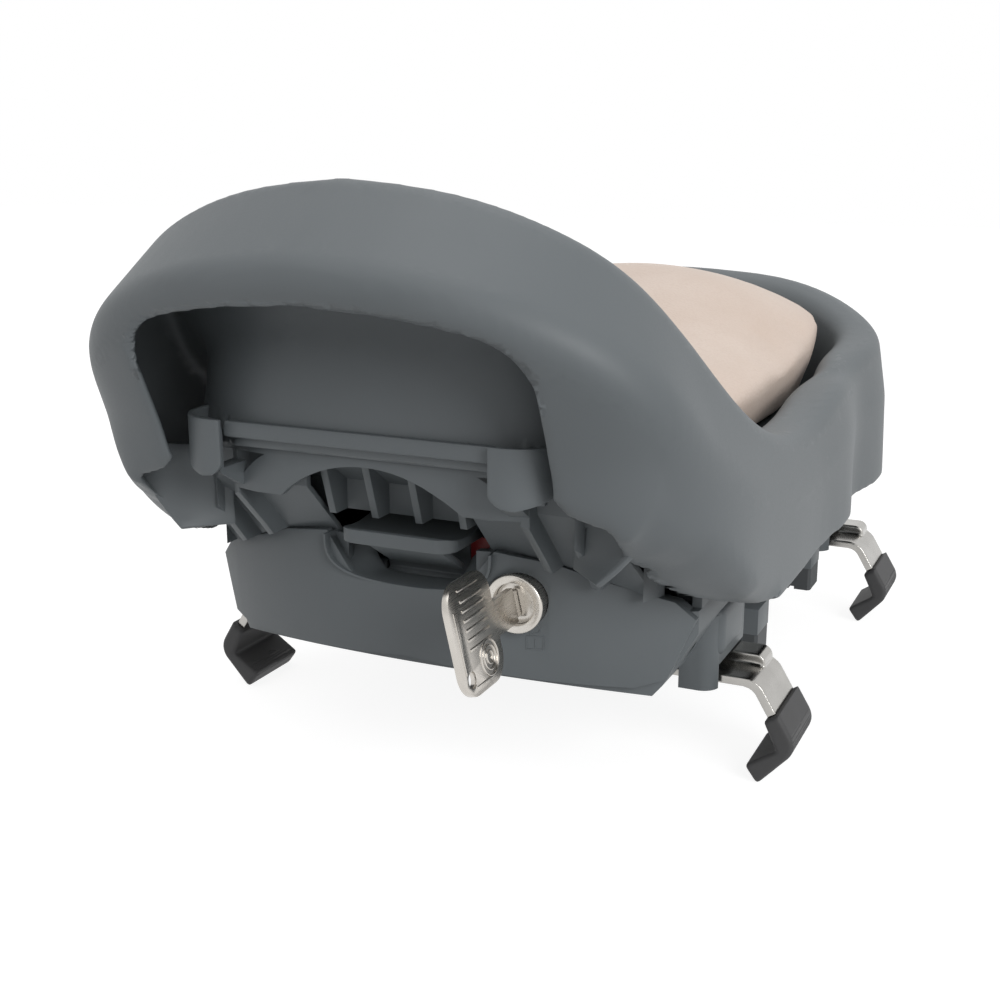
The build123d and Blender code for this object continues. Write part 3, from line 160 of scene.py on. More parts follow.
def new_material(name: str) -> tuple[Material, bpy.types.NodeTree, Node, NodeSocket]:
    """Starts a material with an empty tree.

    Args:
        name: What the real material is.

    Returns:
        The material, its tree, its shader and its Object coordinates.
    """
    material = bpy.data.materials.new(name)
    material.use_nodes = True
    tree = material.node_tree
    tree.nodes.clear()
    shader = add_node(tree, "ShaderNodeBsdfPrincipled")
    add_node(tree, "ShaderNodeOutputMaterial", inputs={"Surface": shader.outputs[0]})
    coordinates = add_node(tree, "ShaderNodeTexCoord").outputs["Object"]
    return material, tree, shader, coordinates


@dataclass(frozen=True)
class Moulded:
    """Injection-moulded plastic with a fine spark-eroded grain, dull and even."""

    name: str
    colour: str
    lift: str
    roughness: float = 0.5
    grain_mm: float = 0.7
    cloud_mm: float = 45.0
    bump: float = 0.12
    ior: float = 1.49

    def build(self) -> Material:
        """Makes the material: clouded colour, broken gloss and a fine grain."""
        material, tree, shader, place = new_material(self.name)
        cloud = add_node(tree, "ShaderNodeTexNoise", inputs={
            "Vector": place, "Scale": per_mm(self.cloud_mm), "Detail": 3.0, "Roughness": 0.55})
        tint = add_node(tree, "ShaderNodeMix", {"data_type": "RGBA"}, {
            "Factor": cloud.outputs["Fac"], "A": linear(self.colour), "B": linear(self.lift)})
        grain = add_node(tree, "ShaderNodeTexNoise", inputs={
            "Vector": place, "Scale": per_mm(self.grain_mm), "Detail": 2.0, "Roughness": 0.6})
        gloss = add_node(tree, "ShaderNodeMapRange", inputs={
            "Value": grain.outputs["Fac"], "To Min": self.roughness - 0.05, "To Max": self.roughness + 0.07})
        height = add_node(tree, "ShaderNodeBump", inputs={
            "Height": grain.outputs["Fac"], "Strength": self.bump, "Distance": 0.1 * MM})
        tree.links.new(tint.outputs["Result"], shader.inputs["Base Color"])
        tree.links.new(gloss.outputs["Result"], shader.inputs["Roughness"])
        tree.links.new(height.outputs["Normal"], shader.inputs["Normal"])
        shader.inputs["IOR"].default_value = self.ior
        return material


@dataclass(frozen=True)
class Leatherette:
    """Vacuum-formed PU skin over foam: pebbled grain with painted shade in its creases, soft low gloss."""

    name: str
    colour: str
    # Darker tone, used for the faint mottling and for the painted shade in the grain's creases
    shade: str
    pebble_mm: float = 1.1
    cloud_mm: float = 30.0
    roughness: float = 0.52
    sheen: float = 0.12

    def build(self) -> Material:
        """Makes the material: pebbles of two sizes, a faint mottling, and painted shade in the creases
        between pebbles.
        """
        material, tree, shader, place = new_material(self.name)
        cloud = add_node(tree, "ShaderNodeTexNoise", inputs={
            "Vector": place, "Scale": per_mm(self.cloud_mm), "Detail": 4.0, "Roughness": 0.5})
        pebble = add_node(tree, "ShaderNodeTexVoronoi", {"feature": "SMOOTH_F1"}, {
            "Vector": place, "Scale": per_mm(self.pebble_mm), "Randomness": 1.0, "Smoothness": 0.35})
        # Painted shade: the creases between pebbles are darkened toward the shade colour
        crease_shade_share = add_node(tree, "ShaderNodeMapRange", inputs={
            "Value": pebble.outputs["Distance"], "From Min": 0.35, "From Max": 0.85,
            "To Min": 0.0, "To Max": 0.35})
        mottled = add_node(tree, "ShaderNodeMix", {"data_type": "RGBA"}, {
            "Factor": cloud.outputs["Fac"], "A": linear(self.colour), "B": linear(self.shade)})
        crease_shaded = add_node(tree, "ShaderNodeMix", {"data_type": "RGBA"}, {
            "Factor": crease_shade_share.outputs["Result"], "A": mottled.outputs["Result"], "B": linear(self.shade)})
        wrinkle = add_node(tree, "ShaderNodeTexNoise", inputs={
            "Vector": place, "Scale": per_mm(self.pebble_mm * 3), "Detail": 3.0, "Roughness": 0.6})
        coarse = add_node(tree, "ShaderNodeBump", inputs={
            "Height": wrinkle.outputs["Fac"], "Strength": 0.25, "Distance": 0.25 * MM})
        fine = add_node(tree, "ShaderNodeBump", {"invert": True}, {
            "Height": pebble.outputs["Distance"], "Strength": 0.55, "Distance": 0.22 * MM,
            "Normal": coarse.outputs["Normal"]})
        tree.links.new(crease_shaded.outputs["Result"], shader.inputs["Base Color"])
        tree.links.new(fine.outputs["Normal"], shader.inputs["Normal"])
        shader.inputs["Roughness"].default_value = self.roughness
        shader.inputs["Sheen Weight"].default_value = self.sheen
        return material


@dataclass(frozen=True)
class Rubber:
    """Compression-moulded rubber: nearly matt, faintly dusty, soft grain."""

    name: str
    colour: str
    dust: str
    roughness: float = 0.62
    grain_mm: float = 0.9

    def build(self) -> Material:
        """Makes the material: dusty patches over a dark matt body."""
        material, tree, shader, place = new_material(self.name)
        patch = add_node(tree, "ShaderNodeTexNoise", inputs={
            "Vector": place, "Scale": per_mm(9.0), "Detail": 5.0, "Roughness": 0.65})
        tint = add_node(tree, "ShaderNodeMix", {"data_type": "RGBA"}, {
            "Factor": patch.outputs["Fac"], "A": linear(self.colour), "B": linear(self.dust)})
        grain = add_node(tree, "ShaderNodeTexNoise", inputs={
            "Vector": place, "Scale": per_mm(self.grain_mm), "Detail": 2.0})
        height = add_node(tree, "ShaderNodeBump", inputs={
            "Height": grain.outputs["Fac"], "Strength": 0.2, "Distance": 0.12 * MM})
        tree.links.new(tint.outputs["Result"], shader.inputs["Base Color"])
        tree.links.new(height.outputs["Normal"], shader.inputs["Normal"])
        shader.inputs["Roughness"].default_value = self.roughness
        return material


@dataclass(frozen=True)
class WorkedMetal:
    """Steel or nickel plate with fine drawn lines, bright but not mirror-like."""

    name: str
    colour: str
    worn: str
    roughness: float = 0.3
    line_mm: tuple[float, float, float] = (14.0, 0.35, 0.35)
    bump: float = 0.08

    def build(self) -> Material:
        """Makes the material: drawn lines that vary the gloss, and a slight tarnish."""
        material, tree, shader, place = new_material(self.name)
        stretch = add_node(tree, "ShaderNodeMapping", inputs={
            "Vector": place, "Scale": tuple(per_mm(size) for size in self.line_mm)})
        lines = add_node(tree, "ShaderNodeTexNoise", inputs={
            "Vector": stretch.outputs["Vector"], "Scale": 1.0, "Detail": 3.0, "Roughness": 0.6})
        stain = add_node(tree, "ShaderNodeTexNoise", inputs={
            "Vector": place, "Scale": per_mm(12.0), "Detail": 4.0})
        tint = add_node(tree, "ShaderNodeMix", {"data_type": "RGBA"}, {
            "Factor": stain.outputs["Fac"], "A": linear(self.colour), "B": linear(self.worn)})
        gloss = add_node(tree, "ShaderNodeMapRange", inputs={
            "Value": lines.outputs["Fac"], "To Min": self.roughness - 0.08, "To Max": self.roughness + 0.1})
        height = add_node(tree, "ShaderNodeBump", inputs={
            "Height": lines.outputs["Fac"], "Strength": self.bump, "Distance": 0.05 * MM})
        tree.links.new(tint.outputs["Result"], shader.inputs["Base Color"])
        tree.links.new(gloss.outputs["Result"], shader.inputs["Roughness"])
        tree.links.new(height.outputs["Normal"], shader.inputs["Normal"])
        shader.inputs["Metallic"].default_value = 1.0
        return material


class Finish(Enum):
    """Every finish of the seat, by the record's material slot."""

    SHELL = "shell_plastic"
    CUSHION = "cushion_skin"
    CLAW = "claw_rubber"
    PAD = "pad_rubber"
    ARM = "arm_metal"
    LOCK = "lock_metal"
    DRIVE = "drive_metal"
    GEAR = "gear_plastic"
    FLAG = "flag_red"


FINISHES = {
    # Glass-filled polypropylene: even slate grey, low satin gloss
    Finish.SHELL: Moulded("polypropylene_slate", "#5c6265", "#64696c"),
    # PU leatherette: pale beige, faintly mottled, with painted shade in the creases of its grain
    Finish.CUSHION: Leatherette("leatherette_beige", "#dfcfc3", "#cdb8a9"),
    # EPDM rubber: charcoal, nearly matt
    Finish.CLAW: Rubber("epdm_charcoal", "#3b3b3c", "#474748"),
    Finish.PAD: Rubber("epdm_slate", "#3f4244", "#4a4d4f"),
    # Stamped stainless steel: bright and satin
    Finish.ARM: WorkedMetal("stainless_satin", "#bab8b4", "#9d9b97", 0.2),
    # Satin nickel plate: slightly warm and darker than steel
    Finish.LOCK: WorkedMetal("nickel_satin", "#d2cec8", "#bab5ae", 0.27, (0.4, 10.0, 0.4)),
    # Zinc-plated steel: grey, duller
    Finish.DRIVE: WorkedMetal("zinc_plated_steel", "#b3b5b8", "#9da0a5", 0.38),
    # Acetal: off-white, waxy
    Finish.GEAR: Moulded("acetal_natural", "#dcdad2", "#d3d1c8", 0.38, bump=0.05),
    # Dyed ABS: signal red
    Finish.FLAG: Moulded("abs_red", "#8c1616", "#7d1212", 0.36, bump=0.05),
}
MATERIALS: dict[Finish, Material] = {}


def dress(piece: Object, finish: Finish) -> None:
    """Gives a piece one finish.

    Args:
        piece: The object to dress.
        finish: Which finish it takes.
    """
    if finish not in MATERIALS:
        MATERIALS[finish] = FINISHES[finish].build()
    piece.data.materials.clear()
    piece.data.materials.append(MATERIALS[finish])


def dress_node(name: str, finish: Finish) -> Object:
    """Gives a CAD node that stays in view its finish.

    Args:
        name: The node's name.
        finish: Which finish it takes.

    Returns:
        The node's object.
    """
    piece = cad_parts[name]
    dress(piece, finish)
    return piece


def shown_copy(node: str, name: str, body: str, finish: Finish) -> Object:
    """Copies a CAD node, joins its loose triangles and lets the copy stand for it.

    Args:
        node: The CAD node.
        name: The copy's name.
        body: The CAD body it rides on.
        finish: Its finish.

    Returns:
        The copy, at the origin.
    """
    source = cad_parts[node]
    piece = bpy.data.objects.new(name, source.data.copy())
    bpy.context.collection.objects.link(piece)
    activate(piece)
    bpy.ops.object.mode_set(mode="EDIT")
    bpy.ops.mesh.select_all(action="SELECT")
    bpy.ops.mesh.remove_doubles(threshold=0.002 * MM)
    bpy.ops.object.mode_set(mode="OBJECT")
    dress(piece, finish)
    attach(piece, body)
    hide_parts(node)
    return piece


def soften(piece: Object, edge_mm: float, angle_deg: float = 32.0, segments: int = 2) -> None:
    """Rounds a moulded piece's sharp edges and shades the rest smooth.

    Args:
        piece: The object to finish.
        edge_mm: Width of the rounding.
        angle_deg: Edges that turn more than this are rounded.
        segments: Faces across a rounding.
    """
    limit = math.radians(angle_deg)
    apply_modifier(piece, "DECIMATE", decimate_type="DISSOLVE", angle_limit=math.radians(FLAT_DEG))
    apply_modifier(
        piece, "BEVEL", width=edge_mm * MM, segments=segments, limit_method="ANGLE", angle_limit=limit,
        harden_normals=False, use_clamp_overlap=True, miter_outer="MITER_ARC",
    )
    activate(piece)
    bpy.ops.object.shade_smooth_by_angle(angle=limit)


def along(table: Sequence[Sequence[float]], place: float, column: int) -> float:
    """Reads a column of a table by straight lines from row to row.

    Args:
        table: Rows that start with their place, in rising order.
        place: Where to read.
        column: Which column to read.

    Returns:
        The value there, held level beyond the ends.
    """
    if place <= table[0][0]:
        return table[0][column]
    for low, high in zip(table, table[1:]):
        if place <= high[0]:
            share = (place - low[0]) / (high[0] - low[0])
            return low[column] + (high[column] - low[column]) * share
    return table[-1][column]


def side_name(side: int) -> str:
    """The word for a side: 1 is the right, -1 the left."""
    return "right" if side > 0 else "left"


def sheet(name: str, columns: int, rows: int, shape: Shape, wall_mm: float) -> Object:
    """Makes one smooth curved sheet of even wall, dressed as the shell and fixed to the seat.

    Args:
        name: The sheet's name.
        columns: Faces along its first direction.
        rows: Faces along its second direction.
        shape: Gives the place in millimetres for two shares from 0 to 1.
        wall_mm: Its wall.

    Returns:
        The sheet, at the origin.
    """
    deselect()
    bpy.ops.mesh.primitive_grid_add(x_subdivisions=columns, y_subdivisions=rows, size=1.0)
    piece = bpy.context.active_object
    piece.name = name
    for vertex in piece.data.vertices:
        vertex.co = Vector(shape(vertex.co.x + 0.5, vertex.co.y + 0.5)) * MM
    apply_modifier(piece, "SOLIDIFY", thickness=wall_mm * MM, offset=0.0)
    apply_modifier(piece, "BEVEL", width=wall_mm * RIM_SHARE * MM, segments=2, limit_method="ANGLE",
                   angle_limit=math.radians(RIM_DEG))
    bpy.ops.object.shade_smooth_by_angle(angle=math.radians(SMOOTH_DEG))
    dress(piece, Finish.SHELL)
    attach(piece, "seat")
    return piece


def remesh(piece: Object, grid_mm: float) -> None:
    """Rebuilds a piece's surface on an even grid.

    Args:
        piece: The object to rebuild.
        grid_mm: Width of the grid.
    """
    activate(piece)
    piece.data.remesh_voxel_size = grid_mm * MM
    bpy.ops.object.voxel_remesh()


def smooth(piece: Object, rounds: int, **settings: object) -> None:
    """Smooths a piece's surface.

    Args:
        piece: The object to smooth.
        rounds: How often it is smoothed.
        **settings: Further properties of the modifier.
    """
    apply_modifier(piece, "SMOOTH", factor=SMOOTHING, iterations=rounds, **settings)


def melt(piece: Object, grid_mm: float, rounds: int) -> None:
    """Rounds a whole piece the way stamping or moulding leaves it.

    Args:
        piece: The object to round.
        grid_mm: Width of the grid that it is remeshed on.
        rounds: How often the grid is smoothed.
    """
    remesh(piece, grid_mm)
    smooth(piece, rounds)
    bpy.ops.object.shade_smooth()


def rounded_block(
    size: Sequence[float], edge_mm: float, segments: int = 2, middle_mm: Sequence[float] = (0.0, 0.0, 0.0)
) -> Object:
    """Makes one block with rounded edges.

    Args:
        size: Its size along X, Y and Z, in metres.
        edge_mm: Width of the rounding.
        segments: Faces across a rounding.
        middle_mm: Its middle.

    Returns:
        The block, settled at the origin.
    """
    deselect()
    bpy.ops.mesh.primitive_cube_add(size=1.0, location=Vector(middle_mm) * MM)
    block = bpy.context.active_object
    block.scale = size
    fix_place(block)
    apply_modifier(block, "BEVEL", width=edge_mm * MM, segments=segments, limit_method="ANGLE")
    return block


def raised_bar(length_mm: float, width_mm: float, height_mm: float, place_mm: Sequence[float]) -> Object:
    """Makes one low bar with rounded ends and a softened top, lying along Y.

    Args:
        length_mm: Its length.
        width_mm: Its width along Z.
        height_mm: How far it stands out along X.
        place_mm: Its middle.

    Returns:
        The bar, settled at the origin.
    """
    size = (height_mm * MM, length_mm * MM, width_mm * MM)
    return rounded_block(size, min(width_mm, height_mm) * BAR_SHARE, middle_mm=place_mm)


def raised_ring(radius_mm: float, wire_mm: float, place_mm: Sequence[float]) -> Object:
    """Makes one low ring that stands out along X.

    Args:
        radius_mm: Radius of its middle line.
        wire_mm: Radius of its section.
        place_mm: Its middle.

    Returns:
        The ring, settled at the origin.
    """
    deselect()
    bpy.ops.mesh.primitive_torus_add(
        major_radius=radius_mm * MM, minor_radius=wire_mm * MM, major_segments=40, minor_segments=8,
        location=Vector(place_mm) * MM, rotation=(0.0, math.pi / 2, 0.0),
    )
    ring = bpy.context.active_object
    fix_place(ring)
    return ring


def joined(pieces: list[Object], name: str, place: Matrix, body: str, finish: Finish) -> Object:
    """Makes one piece of several, sets it in place and dresses it.

    Args:
        pieces: The pieces, the first of which stays.
        name: The name of the whole.
        place: Where it goes.
        body: The CAD body it rides on.
        finish: Its finish.

    Returns:
        The joined piece.
    """
    deselect()
    for piece in pieces:
        piece.select_set(True)
    bpy.context.view_layer.objects.active = pieces[0]
    if len(pieces) > 1:
        bpy.ops.object.join()
    whole = bpy.context.active_object
    whole.name = name
    whole.matrix_world = place
    fix_place(whole)
    dress(whole, finish)
    activate(whole)
    bpy.ops.object.shade_smooth_by_angle(angle=math.radians(SMOOTH_DEG))
    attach(whole, body)
    return whole


@dataclass
class Shell:
    """Skirt, hoop and bucket in one moulding."""

    # Grid, rounds of smoothing, and the share of the faces that is kept
    grid_mm: float = 1.35
    rounds: int = 7
    thinned: float = 0.47
    # The curl starts this far from the middle and is full after the second width
    inner_mm: float = 60.0
    inner_fade_mm: float = 8.0
    # It also fades over these widths inside and beyond the real edge
    edge_fade_mm: float = 6.0
    beyond_fade_mm: float = 3.0
    # Depth from which it is a full quarter round, and its least height
    full_roll_mm: float = 12.0
    least_reach_mm: float = 9.0
    # Cut edge of the CAD skirt in side view, from the rear forward: y and height
    cut_mm: tuple[tuple[float, float], ...] = (
        (-152.0, 116.8), (-139.5, 116.8), (-130.0, 98.7), (-121.0, 83.5), (-110.0, 79.0), (-90.0, 74.1),
        (-62.0, 67.5))
    # Edge of the real skirt: y, height, half width there, height over which it curls, outer half width
    edge_mm: tuple[tuple[float, float, float, float, float], ...] = (
        (-152.0, 116.8, 70.0, 8.0, 70.0),
        (-145.0, 112.5, 77.0, 10.0, 77.0),
        (-140.0, 104.5, 84.0, 12.0, 86.0),
        (-130.0, 96.5, 82.0, 12.0, 94.0),
        (-120.0, 91.0, 82.5, 14.0, 101.0),
        (-113.0, 85.0, 83.5, 16.0, 104.5),
        (-103.0, 79.0, 88.0, 14.0, 107.5),
        (-97.0, 76.5, 92.5, 11.0, 108.0),
        (-90.0, 74.0, 98.0, 9.0, 108.0),
        (-75.0, 69.3, 103.5, 6.0, 108.2),
        (-62.0, 67.5, 108.2, 4.0, 108.2),
    )
    # The hoop's inner rim, which is softer than the rest: rear of it, low and high end
    soft_rear_mm: float = -139.0
    soft_low_mm: float = 116.0
    soft_high_mm: float = 172.0
    soft_rounds: int = 24
    # Behind the lip band the shell is pressed flat: half width, up to which height, and at which y
    lip_half_mm: float = 46.0
    lip_foot_mm: float = 123.6
    lip_back_mm: float = -139.6

    def curl(self, piece: Object) -> None:
        """Rolls the skirt's lower rear edges inward and presses the shell flat behind the lip band.

        Args:
            piece: The remeshed copy of the shell.
        """
        rear, front = self.edge_mm[0][0], self.edge_mm[-1][0]
        for vertex in piece.data.vertices:
            x, y, z = vertex.co / MM
            if abs(x) < self.lip_half_mm and y < self.lip_back_mm and z < self.lip_foot_mm:
                vertex.co.y = self.lip_back_mm * MM
            if not rear <= y <= front or abs(x) < self.inner_mm:
                continue
            cut = along(self.cut_mm, y, 1)
            height, half, roll, outer = (along(self.edge_mm, y, column) for column in (1, 2, 3, 4))
            reach = max(height + roll - cut, self.least_reach_mm)
            share = (z - cut) / reach
            if share >= 1.0:
                continue
            depth = outer - half
            angle = (1.0 - max(share, 0.0)) * math.pi / 2
            inward = depth * (1.0 - math.cos(angle))
            weight = min(max((abs(x) - half + self.edge_fade_mm) / (depth + self.beyond_fade_mm), 0.0), 1.0)
            rounding = min(depth / self.full_roll_mm, 1.0)
            fall = (1.0 - share) * (1.0 - rounding) + math.sin(angle) * rounding
            lowered = cut + reach - (cut + reach - height) * fall + min(share, 0.0)
            near = min((abs(x) - self.inner_mm) / self.inner_fade_mm, 1.0)
            vertex.co.x = math.copysign(abs(x) - inward * weight, x) * MM
            vertex.co.z = (z + (lowered - z) * near) * MM

    def build(self) -> list[Object]:
        """Copies the shell, rounds every rim by remeshing and curls its skirt."""
        piece = shown_copy("seat_shell", "shell_skin", "seat", Finish.SHELL)
        remesh(piece, self.grid_mm)
        smooth(piece, self.rounds)
        self.curl(piece)
        remesh(piece, self.grid_mm)
        rim = piece.vertex_groups.new(name="hoop_rim")
        rim.add([
            vertex.index for vertex in piece.data.vertices
            if vertex.co.y < self.soft_rear_mm * MM
            and self.soft_low_mm * MM < vertex.co.z < self.soft_high_mm * MM
        ], 1.0, "REPLACE")
        smooth(piece, self.soft_rounds, vertex_group=rim.name)
        smooth(piece, self.rounds)
        LOG.info("shell grid: %d faces", len(piece.data.polygons))
        apply_modifier(piece, "DECIMATE", ratio=self.thinned)
        dress(piece, Finish.SHELL)
        activate(piece)
        bpy.ops.object.shade_smooth()
        return [piece]


@dataclass
class Housing:
    """Ribbed base, casing, covers and rack pads below the shell."""

    base_edge_mm: float = 0.5
    casing_edge_mm: float = 0.9
    fascia_edge_mm: float = 0.9
    sign_mm: tuple[float, float, float] = (42.7, -107.2, 58.6)
    sign_turn_deg: float = -75.0
    sign_half_mm: float = 2.7
    sign_line_mm: float = 0.45
    tab_front_mm: float = -142.5
    tab_inner_mm: float = 45.0
    tab_turn: float = 0.38
    tab_foot_mm: float = 111.6

    def tuck_tabs(self, piece: Object) -> None:
        """Turns the base's rear tabs forward under their corner covers.

        Args:
            piece: The copy of the base.
        """
        for vertex in piece.data.vertices:
            x, y, z = vertex.co / MM
            if y < self.tab_front_mm and abs(x) > self.tab_inner_mm:
                vertex.co.y += (abs(x) - self.tab_inner_mm) * self.tab_turn * MM
                vertex.co.z = max(z, self.tab_foot_mm) * MM

    def lock_sign(self) -> Object:
        """Raised outline of a plain padlock under the lock, on the bowed cover."""
        half, line = self.sign_half_mm, self.sign_line_mm
        lines = [
            raised_bar(half * 2, line, line, (0.0, 0.0, -half)),
            raised_bar(half * 2, line, line, (0.0, 0.0, half * 0.6)),
            raised_bar(line, half * 1.6, line, (0.0, -half, -half * 0.2)),
            raised_bar(line, half * 1.6, line, (0.0, half, -half * 0.2)),
            raised_bar(line, half, line, (0.0, 0.0, -half * 0.25)),
            raised_bar(line, half * 1.1, line, (0.0, -half * 0.55, half * 1.1)),
            raised_ring(half * 0.55, line / 2, (0.0, 0.0, half * 1.5)),
        ]
        turn = Matrix.Rotation(math.radians(self.sign_turn_deg), 4, "Z")
        place = Matrix.Translation(Vector(self.sign_mm) * MM) @ turn
        return joined(lines, "lock_sign", place, "seat", Finish.SHELL)

    def build(self) -> list[Object]:
        """Rounds the mouldings' edges and dresses the pads and screws."""
        pieces = []
        for node, edge in (
            ("ribbed_base", self.base_edge_mm),
            ("lower_casing", self.casing_edge_mm),
            ("rear_fascia", self.fascia_edge_mm),
            ("bottom_cover", self.base_edge_mm),
        ):
            piece = shown_copy(node, f"{node}_skin", "seat", Finish.SHELL)
            if node == "ribbed_base":
                self.tuck_tabs(piece)
            soften(piece, edge)
            pieces.append(piece)
        pieces.append(self.lock_sign())
        pieces.append(dress_node("rack_pad_set", Finish.PAD))
        for node in ("shell_screws", "casing_screws", "cover_screws", "fascia_screws"):
            pieces.append(dress_node(node, Finish.DRIVE))
        return pieces


@dataclass
class Cushion:
    """Saddle-shaped pad, swollen from its CAD solid like foam under a tight skin."""

    node: str = "seat_cushion"
    voxel_mm: float = 4.0
    pressure: float = 4.0
    frames: int = 20
    cap_mm: float = 5.0
    keep: float = 0.45
    inset_mm: float = 1.2
    floor_mm: float = 100.3
    cloth_quality: int = 5
    rounds: int = 2

    def build(self) -> list[Object]:
        """Makes the pad, fills it and dresses it."""
        pad = shown_copy(self.node, "seat_pad", "seat", Finish.CUSHION)
        remesh(pad, self.voxel_mm)
        self.fill(pad)
        smooth(pad, self.rounds)
        apply_modifier(pad, "SUBSURF", levels=1, render_levels=1)
        dress(pad, Finish.CUSHION)
        bpy.ops.object.shade_smooth()
        return [pad]

    def fill(self, pad: Object) -> None:
        """Swells the pad with a little pressure and caps how far a point moves.

        Args:
            pad: The remeshed pad.
        """
        low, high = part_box(self.node)
        middle = (low + high) / 2
        sink = Vector(1 - self.inset_mm * MM / reach for reach in (high - low) / 2)
        for vertex in pad.data.vertices:
            vertex.co = middle + (vertex.co - middle) * sink
        before = [vertex.co.copy() for vertex in pad.data.vertices]
        activate(pad)
        bpy.ops.object.modifier_add(type="CLOTH")
        cloth = pad.modifiers[-1]
        cloth.settings.quality = self.cloth_quality
        cloth.settings.use_pressure = True
        cloth.settings.uniform_pressure_force = self.pressure
        cloth.settings.effector_weights.gravity = 0.0
        cloth.collision_settings.use_collision = False
        scene = bpy.context.scene
        for number in range(1, self.frames + 1):
            scene.frame_set(number)
        shape = pad.evaluated_get(bpy.context.evaluated_depsgraph_get()).to_mesh()
        swollen = [vertex.co.copy() for vertex in shape.vertices]
        bpy.ops.object.modifier_remove(modifier=cloth.name)
        cap = self.cap_mm * MM
        for vertex, start, end in zip(pad.data.vertices, before, swollen):
            shift = end - start
            if shift.length > cap:
                shift.length = cap
            vertex.co = start + shift * self.keep
            vertex.co.z = max(vertex.co.z, self.floor_mm * MM)
        scene.frame_set(1)


@dataclass
class Carriages:
    """The four bent arms with their claws, and the rails that tie them together."""

    arm_grid_mm: float = 0.45
    arm_rounds: int = 9
    claw_grid_mm: float = 0.6
    claw_rounds: int = 8

    def build(self) -> list[Object]:
        """Rounds and dresses both sides."""
        pieces = []
        for side in ("right", "left"):
            body = f"{side}_carriage"
            for end in ("rear", "front"):
                arm = shown_copy(f"{side}_{end}_arm", f"{side}_{end}_strap", body, Finish.ARM)
                melt(arm, self.arm_grid_mm, self.arm_rounds)
                dress(arm, Finish.ARM)
                claw = shown_copy(f"{side}_{end}_claw_pad", f"{side}_{end}_grip", body, Finish.CLAW)
                melt(claw, self.claw_grid_mm, self.claw_rounds)
                dress(claw, Finish.CLAW)
                pieces += [arm, claw]
            pieces.append(dress_node(f"{side}_slide_rail", Finish.DRIVE))
            pieces.append(dress_node(f"{side}_rivets", Finish.DRIVE))
            pieces.append(dress_node(f"{side}_rack", Finish.GEAR))
        return pieces


@dataclass
class Drive:
    """Pinion, ratchet, shaft, slider and springs inside the casing."""

    metal: tuple[str, ...] = ("ratchet_wheel", "pinion_shaft", "slider_spring", "lever_spring", "lever_pin")
    acetal: tuple[str, ...] = ("drive_pinion", "lock_slider")

    def build(self) -> list[Object]:
        """Dresses the hidden drive."""
        pieces = [dress_node(name, Finish.DRIVE) for name in self.metal]
        return pieces + [dress_node(name, Finish.GEAR) for name in self.acetal]


